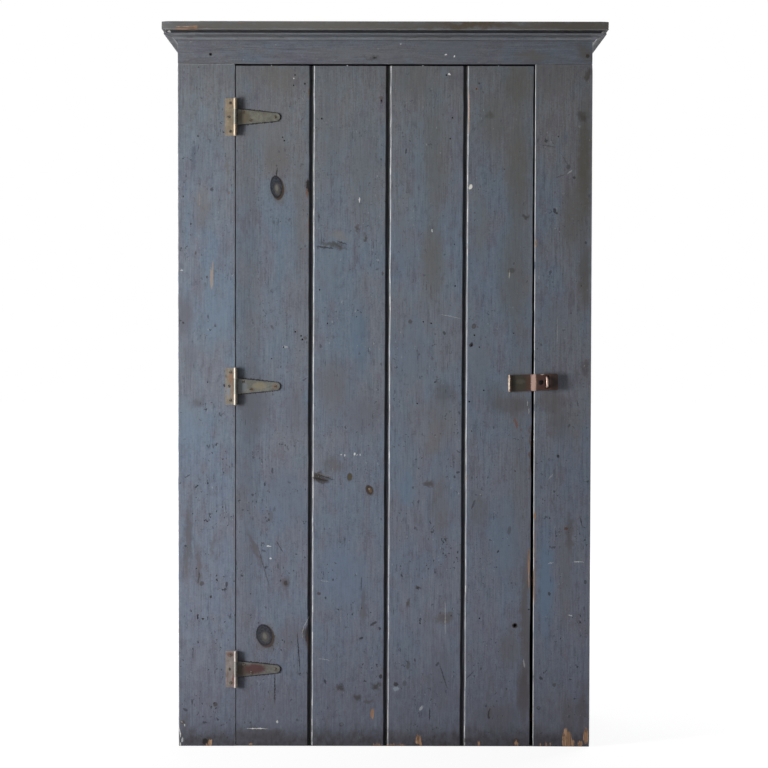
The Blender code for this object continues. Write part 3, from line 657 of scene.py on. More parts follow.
def iron(name, seed, steel, rust, rust_share, metallic, patches=()):
    """Old ironwork: dull plate, rust in patches and pores, remains of the cupboard's paint, and
    painted highlight and shade in some patches.

    patches: (x, z, wide, tall, turn, colour, amount) in the plate's own place.
    """
    f = Finish(name)
    shifted = f.moved(f.place, (seed * 1.9, seed * 2.7, seed * 0.83))
    big = f.noise(shifted, 60.0, 4.0, 0.6)
    small = f.noise(shifted, 230.0, 4.0, 0.65)
    grit = f.noise(shifted, 900.0, 2.0, 0.6)
    loose = f.strayed(f.wandering(shifted, 260.0), (0.010, 0.0, 0.010))
    colour = f.mix(f.between(big, 0.35, 0.65), steel, tuple(c * 0.72 for c in steel))
    colour = f.mix(f.between(small, 0.40, 0.70, 0.0, 0.5), colour, tuple(c * 0.55 for c in steel))
    rough_spots = f.maths("ADD", big, f.maths("MULTIPLY", small, 0.45))
    rusted = f.between(rough_spots, 0.98 - rust_share, 1.10 - rust_share)
    rust_tone = f.mix(f.between(grit, 0.35, 0.65), rust, tuple(c * 0.5 for c in rust))
    colour = f.mix(f.maths("MULTIPLY", rusted, 0.8), colour, rust_tone)
    laid = 0.0
    for x, z, wide, tall, turn, tint, amount in patches:
        inside = f.between(f.oval(loose, x, z, wide, tall, turn), 1.15, 0.55, 0.0, amount)
        colour = f.mix(inside, colour, tint)
        laid = f.maths("MAXIMUM", inside, laid)
    pits = f.between(grit, 0.62, 0.70, 0.0, 0.45)
    colour = f.mix(pits, colour, tuple(c * 0.25 for c in steel))
    # Dirt, and painted shade on the sides of the barrels that face away from the lamp and in the
    # screw slots
    grime_and_shade = f.attribute("grime_and_shade")
    colour = f.mix(f.maths("MULTIPLY", grime_and_shade, 0.85), colour, GRIME_AND_SHADE)
    bright = f.maths("MULTIPLY", f.attribute("wear_and_highlight"), f.between(small, 0.35, 0.6, 0.35, 1.0))
    colour = f.mix(bright, colour, tuple(min(1.0, c * 2.6) for c in steel))
    rough = f.between(small, 0.3, 0.7, 0.38, 0.55)
    rough = f.maths("ADD", rough, f.maths("MULTIPLY", rusted, 0.15))
    covered = f.maths("MAXIMUM", rusted, laid)
    metal = f.maths("MULTIPLY", f.maths("SUBTRACT", 1.0, covered, clamp=True), metallic)
    height = f.maths("ADD", f.maths("MULTIPLY", small, 0.6), f.maths("MULTIPLY", grit, 0.4))
    height = f.maths("ADD", height, f.maths("MULTIPLY", covered, 0.5))
    return f.done(colour, rough, f.bump(height, 0.00022), metallic=metal, specular=0.25)


def dirt(name):
    """Dirt and painted shade, black, at the bottom of a nail hole."""
    f = Finish(name)
    grain = f.noise(f.place, 900.0, 3.0)
    colour = f.mix(f.between(grain, 0.3, 0.7), (0.006, 0.005, 0.005), (0.022, 0.016, 0.012))
    return f.done(colour, 0.9, f.bump(grain, 0.0002), specular=0.1)


HOLE_DIRT_AND_SHADE = dirt("nail_hole_dirt_and_shade")


def fit(obj, body, slot, finish, *nodes):
    """Give a finished piece its material and body, and hide the CAD nodes that it stands for. The
    slot is not used.
    """
    if not obj.data.materials:
        obj.data.materials.append(finish)
    else:
        obj.data.materials[0] = finish
    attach(obj, body)
    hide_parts(*nodes)


# Camera, light and floor


def set_camera():
    """The photograph's view, from 4 m: a little above the door's middle, tipped down a little."""
    bpy.ops.object.select_all(action="DESELECT")
    bpy.ops.object.camera_add(location=(-0.00127, FACE - 4.0, 0.958))
    camera = bpy.context.object
    camera.name = "camera"
    camera.data.sensor_width = 36.0
    camera.data.lens = 81.13
    tilt = Matrix.Rotation(math.radians(90 - 1.636), 4, "X")
    roll = Matrix.Rotation(math.radians(0.0972), 4, "Z")
    camera.rotation_euler = (tilt @ roll).to_euler()
    camera.data.clip_end = 60.0
    bpy.context.scene.camera = camera
    bpy.context.scene.view_settings.view_transform = "Standard"


def softbox(name, place, aim, wide, tall, power, tint=(1.0, 1.0, 1.0)):
    bpy.ops.object.select_all(action="DESELECT")
    bpy.ops.object.light_add(type="AREA", location=place)
    lamp = bpy.context.object
    lamp.name = name
    lamp.data.shape = "RECTANGLE"
    lamp.data.size = wide
    lamp.data.size_y = tall
    lamp.data.energy = power
    lamp.data.color = tint
    lamp.rotation_euler = (Vector(aim) - Vector(place)).to_track_quat("-Z", "Y").to_euler()


def set_light():
    """One tall light like a window, low from the left, and soft light on the back and the top."""
    window = (1.0, 0.985, 0.96)
    softbox("key", (-3.7, FACE - 1.5, 1.0), (0.0, FACE, 0.9), 0.8, 1.8, 298.0, window)
    softbox("behind", (2.4, 2.6, 1.7), (0.3, 0.1, 0.9), 2.0, 2.0, 95.0)
    softbox("above", (0.0, 1.4, 3.4), (0.0, 0.15, 1.5), 2.0, 1.6, 45.0)
    world = bpy.data.worlds.new("studio")
    bpy.context.scene.world = world
    world.use_nodes = True
    tree = Tree(world.node_tree)
    path = tree.new("LightPath").outputs
    seen = tree.maths("MAXIMUM", path["Is Camera Ray"], path["Is Glossy Ray"])
    seen = tree.maths("MAXIMUM", seen, path["Is Transmission Ray"])
    background = tree.nodes["Background"]
    tree.put(background.inputs["Color"], tree.mix(seen, (0.115, 0.120, 0.128), (1.0, 1.0, 1.0)))
    background.inputs["Strength"].default_value = 1.0


def set_floor():
    """A plain white floor that looks as white as the backdrop and keeps the shadow at the foot."""
    bpy.ops.object.select_all(action="DESELECT")
    bpy.ops.mesh.primitive_plane_add(size=40.0, location=(0.0, 0.0, 0.0))
    floor = bpy.context.object
    floor.name = "studio_floor"
    made = bpy.data.materials.new("studio_floor")
    made.use_nodes = True
    tree = Tree(made.node_tree)
    tree.nodes.clear()
    out = tree.new("OutputMaterial")
    pale, thin = (tree.new("BsdfDiffuse") for _ in range(2))
    tree.put(pale.inputs["Color"], (0.80, 0.80, 0.80))
    tree.put(thin.inputs["Color"], (0.16, 0.16, 0.16))
    glow = tree.new("Emission")
    tree.put(glow.inputs["Color"], (1.0, 1.0, 1.0))
    # The glow is full away from the cupboard, a little weaker round its foot, and gone beneath it
    place = tree.new("TexCoord").outputs["Object"]
    fade = tree.between(tree.vector("LENGTH", place), 0.7, 1.6, 0.88, 1.0)
    parts = tree.fill(tree.new("SeparateXYZ"), place).outputs
    across = tree.maths("COMPARE", parts["X"], 0.0, CASE_RIGHT - 0.004)
    along = tree.maths("COMPARE", parts["Y"], FACE + 0.202, 0.196)
    clear = tree.maths("SUBTRACT", 1.0, tree.maths("MULTIPLY", across, along))
    tree.put(glow.inputs["Strength"], tree.maths("MULTIPLY", fade, clear))
    both = tree.fill(tree.new("AddShader"), thin.outputs[0], glow.outputs[0])
    seen = tree.new("LightPath").outputs["Is Camera Ray"]
    choose = tree.fill(tree.new("MixShader"), seen, pale.outputs[0], both.outputs[0])
    tree.put(out.inputs["Surface"], choose.outputs[0])
    floor.data.materials.append(made)
    floor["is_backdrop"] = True


# Boards


def square_board(name, low, high, along, arris=0.0012, pitch=0.014):
    """A board with eased corners, cut across along its length so that its corners can be battered
    and rubbed.
    """
    obj = block(name, low, high)
    open_mesh(obj)
    bpy.ops.mesh.select_mode(type="EDGE")
    bpy.ops.mesh.select_all(action="SELECT")
    bpy.ops.mesh.bevel(offset=arris, segments=2, affect="EDGES")
    length = Vector(high)[along] - Vector(low)[along]
    pick(obj, "EDGE", lambda e: runs_along(along)(e) and e.calc_length() > length / 2)
    bpy.ops.mesh.subdivide(number_cuts=max(1, int(length / pitch)))
    close_mesh()
    return obj


def wear_board(obj, seed, strength=0.0011, size=0.018):
    """Knock the corners about."""

    def on_corner(vert):
        return max(abs(c) for c in vert.normal) < 0.98

    name_vertices(obj, "corners", on_corner)
    batter(obj, "corners", -strength, size, seed)


def nail_holes(obj, places, seed, depth=0.007):
    """Sink small uneven holes into the face of a board, black inside."""
    draw = random.Random(seed)
    for x, z, radius in places:
        slip = Vector((draw.uniform(-0.001, 0.001), 0.0, draw.uniform(-0.001, 0.001)))
        front = Vector((x, FACE - 0.002, z))
        back = Vector((x, FACE + depth, z)) + slip
        tool = rod("hole_tool", front, back, radius * 1.15, radius * 0.7, 9)
        for vert in tool.data.vertices:
            vert.co.x += draw.uniform(-0.25, 0.25) * radius
            vert.co.z += draw.uniform(-0.25, 0.35) * radius
        tool.data.materials.append(HOLE_DIRT_AND_SHADE)
        combine(obj, tool)


def finish_board(obj, share=1.0):
    mark_arrises(obj, share)
    mark_faces(obj, "grime_and_shade", lambda face: 0.0)
    shade(obj)


def painted_board(name, node, seed, along, arris, holes=(), share=1.0, cuts=(), **finish):
    """A plain painted board of the case."""
    low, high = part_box(node)
    obj = square_board(name, low, high, along, arris)
    wear_board(obj, seed)
    for cut_low, cut_high in cuts:
        combine(obj, block("cut", cut_low, cut_high))
    nail_holes(obj, holes, seed)
    finish_board(obj, share)
    grain = {2: "xyz", 0: "zyx"}[along]
    fit(obj, "cabinet", "painted_wood", paint(name + "_paint", seed, grain, **finish), node)


def door_board(name, node, seed, first=False, last=False, holes=()):
    """One V-jointed door board: chamfers, tongue and groove, leaning as the old door does."""
    low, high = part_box(node)
    left = low.x + (0.0 if first else DOOR_LEAN)
    right = high.x - (0.0 if last else TONGUE_LENGTH)
    middle = (low.y + high.y) / 2
    obj = block(name, (left, low.y, low.z), (right, high.y, high.z))

    def front_corner(edge):
        a, b = (vert.co for vert in edge.verts)
        return abs(a.y - FACE) < 1e-5 and abs(b.y - FACE) < 1e-5 and abs(a.z - b.z) > 0.1

    open_mesh(obj)
    if not first:
        pick(obj, "EDGE", lambda e: front_corner(e) and e.verts[0].co.x < left + 1e-4)
        bpy.ops.mesh.bevel(offset=CHAMFER, segments=1, affect="EDGES")
        # The outer part of this chamfer catches the knocks and takes a painted highlight. Dirt and
        # painted shade go on the inner part
        bpy.ops.mesh.select_all(action="SELECT")
        bpy.ops.mesh.bisect(plane_co=(left + INNER_CHAMFER, 0.0, 0.0), plane_no=(1, 0, 0))
    if not last:
        pick(obj, "EDGE", lambda e: front_corner(e) and e.verts[0].co.x > right - 1e-4)
        bpy.ops.mesh.bevel(offset=CHAMFER, segments=1, affect="EDGES")
        # The tongue is drawn out of the right edge
        for y in (middle - TONGUE_THICK / 2, middle + TONGUE_THICK / 2):
            bpy.ops.mesh.select_all(action="SELECT")
            bpy.ops.mesh.bisect(plane_co=(0.0, y, 0.0), plane_no=(0, 1, 0))

        def on_tongue(face):
            return face.normal.x > 0.9 and abs(face.calc_center_median().y - middle) < 0.002

        pick(obj, "FACE", on_tongue)
        bpy.ops.mesh.extrude_region_move(TRANSFORM_OT_translate={"value": (TONGUE_LENGTH, 0, 0)})
    close_mesh()
    if not first:
        half = GROOVE_THICK / 2
        tool = block(
            "groove_tool",
            (left - 0.004, middle - half, low.z - 0.004),
            (left + GROOVE_DEPTH, middle + half, high.z + 0.004),
        )
        combine(obj, tool)

    open_mesh(obj)
    pick(obj, "EDGE", front_corner)
    bpy.ops.mesh.bevel(offset=0.0009, segments=2, affect="EDGES")

    def moves_over(vert):
        """The foot of the board, but for the first board's outer edge, which stays upright."""
        return vert.co.z < 0.5 and (not first or vert.co.x > (left + right) / 2)

    pick(obj, "VERT", moves_over)
    bpy.ops.transform.translate(value=(-DOOR_LEAN, 0, 0))
    pick(obj, "EDGE", runs_along(2))
    bpy.ops.mesh.subdivide(number_cuts=120)
    close_mesh()

    def in_joint(vert):
        upright = 0.01 < vert.co.z - low.z and vert.co.z < high.z - 0.01
        return upright and vert.co.y < FACE + CHAMFER + 0.0005

    name_vertices(obj, "joint", in_joint)
    name_vertices(obj, "corners", lambda vert: vert.co.y < FACE + 0.001)
    batter(obj, "joint", 0.0014, 0.060, seed, "X")
    batter(obj, "corners", -0.0007, 0.012, seed + 5)
    nail_holes(obj, holes, seed)
    inner_right = right - CHAMFER - DOOR_LEAN - 0.0015
    split = FACE + CHAMFER - INNER_CHAMFER

    # Rubbed pale paint and a painted highlight on the outer part of the chamfer that faces the lamp
    def worn_and_lit(face):
        slope = -face.normal.x if face.center.y < split else 0.0
        if not first and slope > 0.15 and face.center.x < left + CHAMFER + 0.002:
            return 0.85 if slope > 0.55 else 0.30
        return 0.0

    # Dirt and painted shade in the gap beside the hinges, deep in the joints, and on the chamfers
    # that face away from the lamp
    def grimy_and_shaded(face):
        if first and face.center.x < left + 0.01:
            return 0.9 if face.normal.x < -0.5 else 0.0
        sunk = face.center.y > split - 0.0002 and abs(face.normal.x) > 0.3
        shaded = not last and face.normal.x > 0.3 and face.center.x > inner_right
        return 1.0 if sunk or shaded else 0.0

    mark_faces(obj, "wear_and_highlight", worn_and_lit)
    mark_faces(obj, "grime_and_shade", grimy_and_shaded)
    shade(obj)
    return obj


def mitred_moulding(name, node, face_axis, ends):
    """A length of bed moulding: a strip cut level by level to its hollow, then mitred.

    face_axis is 1 for the front length and 0 for a return, and ends are the mitre planes.
    """
    low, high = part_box(node)
    out_at = low.y if face_axis == 1 else (low.x if low.x < CASE_LEFT - 0.005 else high.x)
    way = -1 if out_at in (low.y, low.x) else 1
    obj = block(name, low, high)
    wide = 0.028
    # Each level of the profile, how far up and how far out from the case, in millimetres
    profile = (
        (0.0, 4.2), (1.2, 4.4), (1.8, 5.4), (3.2, 6.6), (4.6, 8.8), (6.0, 12.0), (7.4, 16.2),
        (8.6, 20.8), (9.4, 23.5), (9.7, 27.6), (11.5, 28.0), (13.2, 27.8), (13.6, 26.8),
        (13.8, 22.5),
    )
    levels = [(up / 1000, out / 1000) for up, out in profile]
    open_mesh(obj)
    for up, _ in levels[1:]:
        bpy.ops.mesh.select_all(action="SELECT")
        bpy.ops.mesh.bisect(plane_co=(0, 0, low.z + up), plane_no=(0, 0, 1))
    levels.append((high.z - low.z, 0.021))
    for up, out in levels:
        at = low.z + up

        def on_level(vert):
            return abs(vert.co.z - at) < 2e-5 and abs(vert.co[face_axis] - out_at) < 2e-5

        pick(obj, "VERT", on_level)
        travel = [0.0, 0.0, 0.0]
        travel[face_axis] = -way * (wide - out)
        bpy.ops.transform.translate(value=travel)
    for place, normal in ends:
        bpy.ops.mesh.select_all(action="SELECT")
        bpy.ops.mesh.bisect(plane_co=place, plane_no=normal, use_fill=True, clear_outer=True)
    along = 1 - face_axis
    pick(obj, "EDGE", lambda e: runs_along(along)(e) and e.calc_length() > 0.2)
    bpy.ops.mesh.subdivide(number_cuts=60 if face_axis == 1 else 26)
    bpy.ops.mesh.select_all(action="SELECT")
    bpy.ops.mesh.normals_make_consistent(inside=False)
    close_mesh()
    return obj


# Ironwork


def tapped_head(name, place, radius, high, seed, shank=0.014):
    """A slotted screw: domed head with a filed slot, and its shank behind."""
    draw = random.Random(seed)
    place = Vector(place)
    head = rod(name, place + Vector((0, high, 0)), place, radius, radius * 0.80, 24)
    open_mesh(head)
    pick(head, "FACE", lambda face: face.normal.y < -0.9)
    bpy.ops.mesh.inset(thickness=radius * 0.32, depth=high * 0.30)
    bpy.ops.mesh.inset(thickness=radius * 0.22, depth=high * 0.08)
    pick(head, "FACE", lambda face: face.normal.y > 0.9)
    bpy.ops.mesh.inset(thickness=radius * 0.5, depth=0.0)
    bpy.ops.mesh.extrude_region_move(TRANSFORM_OT_translate={"value": (0, shank * 0.6, 0)})
    bpy.ops.mesh.extrude_region_move(TRANSFORM_OT_translate={"value": (0, shank * 0.4, 0)})
    bpy.ops.transform.resize(value=(0.25, 1.0, 0.25))
    close_mesh()
    slot = block("slot_tool", (-radius * 1.3, -0.004, -0.0010), (radius * 1.3, high * 0.65, 0.0010))
    turn = Matrix.Rotation(draw.uniform(0, math.pi), 4, "Y")
    slot.data.transform(Matrix.Translation(place) @ turn)
    combine(head, slot)

    # Dirt and painted shade in the slot
    def in_slot(face):
        aside = math.hypot(face.center.x - place.x, face.center.z - place.z)
        deep = face.center.y > place.y + high * 0.30
        return 1.0 if deep or (abs(face.normal.y) < 0.3 and aside < radius * 0.75) else 0.05

    mark_faces(head, "wear_and_highlight", lambda face: 0.0)
    mark_faces(head, "grime_and_shade", in_slot)
    shade(head, 30)
    return head


def through_holes(obj, places, bed, radius, sink):
    """Drill and countersink screw holes in a plate that lies on the face of the wood."""
    for x, z in places:
        combine(obj, rod("drill", (x, bed + 0.004, z), (x, bed - 0.006, z), radius, sides=16))
        combine(obj, rod("sink", (x, bed - 0.0006, z), (x, bed - 0.005, z), sink, sides=20))


def hinge_leaf(name, node, height):
    """The upright plate on the stile, with its two knuckles rolled round the pin."""
    low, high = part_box(node)
    bed = FACE - GAP
    leaf = block(name, (low.x, bed - PLATE_THICK, low.z), (HINGE_X, bed, high.z))
    open_mesh(leaf)
    pick(leaf, "EDGE", lambda e: runs_along(1)(e) and e.verts[0].co.x < low.x + 1e-4)
    bpy.ops.mesh.bevel(offset=0.0016, segments=3, affect="EDGES")
    close_mesh()
    middle = LEAF_NOTCH / 2 + KNUCKLE_PLAY
    axis_y = bed - BARREL_RADIUS
    room_low = (HINGE_X - BARREL_RADIUS - KNUCKLE_PLAY, FACE - 0.02, height - middle)
    room_high = (HINGE_X + 0.01, FACE + 0.01, height + middle)
    combine(leaf, block("notch", room_low, room_high))
    for start, end in ((low.z, height - middle), (height + middle, high.z)):
        barrel = rod("knuckle", (HINGE_X, axis_y, start), (HINGE_X, axis_y, end), BARREL_RADIUS)
        combine(leaf, barrel, "UNION")
    ease(leaf, 0.00025, 2, 40)
    ends = [(HINGE_X, axis_y, z) for z in (low.z - 0.004, high.z + 0.004)]
    combine(leaf, rod("bore", *ends, PIN_BORE, sides=24))
    places = [(HINGE_X + dx, height + dz) for dx, dz in LEAF_SCREWS.values()]
    through_holes(leaf, places, bed, SCREW_HOLE, SCREW_SINK)
    return leaf


def hinge_strap(name, height):
    """The tapering arm on the door, cut from plate, with the middle knuckle."""
    bed = FACE - GAP
    half = STRAP_ROOT / 2
    start = HINGE_X + BARREL_RADIUS + KNUCKLE_PLAY
    tip = HINGE_X + STRAP_LENGTH
    strap = block(name, (HINGE_X, bed - PLATE_THICK, height - half), (tip, bed, height + half))
    open_mesh(strap)
    bpy.ops.mesh.select_all(action="SELECT")
    bpy.ops.mesh.bisect(plane_co=(start, 0, 0), plane_no=(1, 0, 0))
    pick(strap, "VERT", lambda vert: vert.co.x > tip - 1e-4)
    bpy.ops.transform.resize(value=(1.0, 1.0, STRAP_TIP / STRAP_ROOT))
    pick(strap, "EDGE", lambda e: runs_along(1)(e) and e.verts[0].co.x > tip - 1e-4)
    bpy.ops.mesh.bevel(offset=0.0078, segments=8, affect="EDGES")
    close_mesh()
    axis_y = bed - BARREL_RADIUS
    ends = [(HINGE_X, axis_y, height + z) for z in (-half, half)]
    barrel = rod("knuckle", *ends, BARREL_RADIUS)
    combine(strap, barrel, "UNION")
    ease(strap, 0.00025, 2, 40)
    ends = [(HINGE_X, axis_y, height + z) for z in (-0.03, 0.03)]
    combine(strap, rod("bore", *ends, PIN_BORE, sides=24))
    places = [(HINGE_X + dx, height + dz) for dx, dz in STRAP_SCREWS.values()]
    through_holes(strap, places, bed, SCREW_HOLE, SCREW_SINK)
    return strap


def hinge_dirt_and_shade(screws, height):
    """Dirt round the screws of a hinge plate, and painted shade on the side of its barrel that
    faces away from the lamp.
    """
    places = [(HINGE_X + dx, height + dz) for dx, dz in screws.values()]

    def dirty_and_shaded(face):
        spot = face.center
        near = min(math.hypot(spot.x - x, spot.z - z) for x, z in places)
        if near < 0.0040 and face.normal.y > -0.95:
            return 0.25
        return 0.70 if spot.y < FACE - 0.003 and face.normal.x > 0.25 else 0.0

    return dirty_and_shaded


def pin(name, place, low, high, radius):
    """A pin with its ends hammered over round."""
    obj = rod(name, (place.x, place.y, low), (place.x, place.y, high), radius, sides=24)
    open_mesh(obj)
    pick(obj, "FACE", lambda face: abs(face.normal.z) > 0.9)
    bpy.ops.mesh.inset(thickness=radius * 0.45, depth=0.0)
    close_mesh()
    for vert in obj.data.vertices:
        aside = math.hypot(vert.co.x - place.x, vert.co.y - place.y)
        if aside > radius * 0.8:
            vert.co.z += 0.0007 if vert.co.z < (low + high) / 2 else -0.0007
    return obj


def hasp_turn():
    """The hasp's own place and turn on the door."""
    return Matrix.Translation(HASP_PLACE) @ Matrix.Rotation(-HASP_TILT, 4, "Y")


def finish_iron(obj, angle=35, grimy_and_shaded=None):
    def worn_and_lit(face):
        square = max(abs(c) for c in face.normal)
        return min(1.0, max(0.0, (0.98 - square) / 0.1)) * (0.8 if face.area < 4e-6 else 0.35)

    mark_faces(obj, "wear_and_highlight", worn_and_lit)
    mark_faces(obj, "grime_and_shade", grimy_and_shaded or (lambda face: 0.0))
    shade(obj, angle)


def hasp_leaf():
    """The plate under the flap that is screwed to the door, with the two outer knuckles."""
    half = HASP_HALF
    third = HASP_THIRD + KNUCKLE_PLAY
    bed = 0.0042  # from the pin back to the face of the door
    leaf = block("hasp_leaf_old", (0.0, bed - 0.0015, -half), (0.042, bed, half))
    open_mesh(leaf)
    pick(leaf, "EDGE", lambda e: runs_along(1)(e) and e.verts[0].co.x > 0.04)
    bpy.ops.mesh.bevel(offset=0.002, segments=3, affect="EDGES")
    close_mesh()
    combine(leaf, block("notch", (-0.01, -0.02, -third), (0.0047, 0.02, third)))
    for start, end in ((-half, -third), (third, half)):
        combine(leaf, rod("knuckle", (0, 0, start), (0, 0, end), HASP_KNUCKLE), "UNION")
    ease(leaf, 0.0002, 2, 40)
    combine(leaf, rod("bore", (0, 0, -half - 0.004), (0, 0, half + 0.004), HASP_BORE, sides=24))
    through_holes(leaf, HASP_SCREWS.values(), bed, SCREW_HOLE, 0.0038)
    leaf.data.transform(hasp_turn())
    return leaf


def hasp_flap():
    """The hasp itself: flat at its knuckle, cranked over the gap, with a hole and a slot."""
    half = HASP_HALF
    third = HASP_THIRD
    back = 0.0024  # from the pin back to the flap's underside
    thick = 0.002
    lift = 0.006  # of the part beyond the crank
    flap = block("hasp_flap_old", (0.0, back - thick, -half), (0.1105, back, half))
    open_mesh(flap)
    for x in (0.0468, 0.0482, 0.0496, 0.0575, 0.0590, 0.0605, 0.067, 0.080, 0.095):
        bpy.ops.mesh.select_all(action="SELECT")
        bpy.ops.mesh.bisect(plane_co=(x, 0, 0), plane_no=(1, 0, 0))
    rises = ((0.0482, 0.0005), (0.0496, 0.0014), (0.0575, 0.0047), (0.0590, 0.0056))
    for x, rise in rises:
        pick(flap, "VERT", lambda vert: abs(vert.co.x - x) < 1e-4)
        bpy.ops.transform.translate(value=(0, -rise, 0))
    pick(flap, "VERT", lambda vert: vert.co.x > 0.0600)
    bpy.ops.transform.translate(value=(0, -lift, 0))
    pick(flap, "EDGE", lambda e: runs_along(1)(e) and e.verts[0].co.x > 0.11)
    bpy.ops.mesh.bevel(offset=0.004, segments=5, affect="EDGES")
    close_mesh()
    for way in (-1, 1):
        low, high = sorted((way * (third + KNUCKLE_PLAY), way * (half + 0.004)))
        combine(flap, block("notch", (-0.004, -0.01, low), (0.0047, 0.01, high)))
    combine(flap, rod("knuckle", (0, 0, -third), (0, 0, third), HASP_KNUCKLE), "UNION")
    combine(flap, rod("bore", (0, 0, -half), (0, 0, half), HASP_BORE, sides=24))
    over = back - lift - 0.008
    under = back - lift + 0.004
    combine(flap, block("slot", (0.0810, over, -0.0152), (0.0908, under, 0.0152)))
    combine(flap, rod("hole", (0.0714, over, 0), (0.0714, under, 0), 0.0060, sides=28))
    ease(flap, 0.00035, 2, 40)
    flap.data.transform(hasp_turn())
    return flap


def staple():
    """A wire bent in a half circle, its legs driven into the stile."""
    radius = STAPLE_RADIUS
    wood = 0.0045  # from the hasp's pin back to the face of the stile
    out = 0.0205  # how far the staple stands out of the stile
    driven = 0.0145  # how far its legs go in
    spring = wood - out + STAPLE_WIRE + radius
    bpy.ops.object.select_all(action="DESELECT")
    bpy.ops.mesh.primitive_circle_add(
        vertices=14,
        radius=STAPLE_WIRE,
        fill_type="NGON",
        location=(STAPLE_X, spring, -radius),
        rotation=(QUARTER_TURN, 0, 0),
    )
    settle()
    obj = bpy.context.object
    obj.name = "staple_old"
    open_mesh(obj)
    bpy.ops.mesh.select_all(action="SELECT")
    middle = (STAPLE_X, spring, 0.0)
    bpy.ops.mesh.spin(steps=18, angle=math.pi, center=middle, axis=(1, 0, 0), use_auto_merge=False)
    close_mesh()
    if min(v.co.y for v in obj.data.vertices) > spring - radius * 0.5:
        raise ValueError("the staple was spun into the stile")
    open_mesh(obj)
    pick(obj, "FACE", lambda face: abs(face.normal.y) > 0.9 and len(face.verts) > 6)
    leg = wood + driven - spring
    bpy.ops.mesh.extrude_region_move(TRANSFORM_OT_translate={"value": (0, leg, 0)})
    bpy.ops.mesh.select_all(action="SELECT")
    bpy.ops.mesh.normals_make_consistent(inside=False)
    close_mesh()
    obj.data.transform(hasp_turn())
    return obj


# Finishes of each board, with the marks that the photograph shows

LEFT_STILE_STAINS = (
    (-0.4375, 1.370, 0.010, 0.036, 4, (0.060, 0.078, 0.108), 0.65),
    (-0.3638, 1.341, 0.005, 0.022, 3, OLIVE, 0.5),
    (-0.4200, 1.245, 0.022, 0.060, 0, (0.125, 0.108, 0.100), 0.45),
    (-0.4620, 1.000, 0.026, 0.060, 0, PURPLE, 0.85),
    (-0.4500, 0.905, 0.022, 0.040, 0, PURPLE, 0.6),
    (-0.3900, 1.010, 0.035, 0.080, 0, (0.125, 0.165, 0.215), 0.6),
    (-0.4500, 0.760, 0.050, 0.070, 0, (0.125, 0.165, 0.215), 0.6),
    (-0.4300, 0.800, 0.020, 0.018, 0, (0.070, 0.062, 0.066), 0.6),
    (-0.4550, 0.480, 0.013, 0.110, 2, (0.066, 0.056, 0.052), 0.65),
    (-0.4300, 0.420, 0.010, 0.070, -4, (0.066, 0.056, 0.052), 0.55),
    (-0.3960, 0.470, 0.008, 0.040, 2, (0.070, 0.060, 0.056), 0.5),
    (-0.4180, 0.014, 0.020, 0.012, 0, BROWN, 0.8),
    (-0.4640, 0.060, 0.012, 0.026, 0, (0.060, 0.054, 0.050), 0.6),
)
LEFT_STILE_BARE = (
    (-0.4045, 0.0085, 0.0045, 0.0080, 8),
    (-0.4120, 0.0030, 0.0030, 0.0030, 0),
)
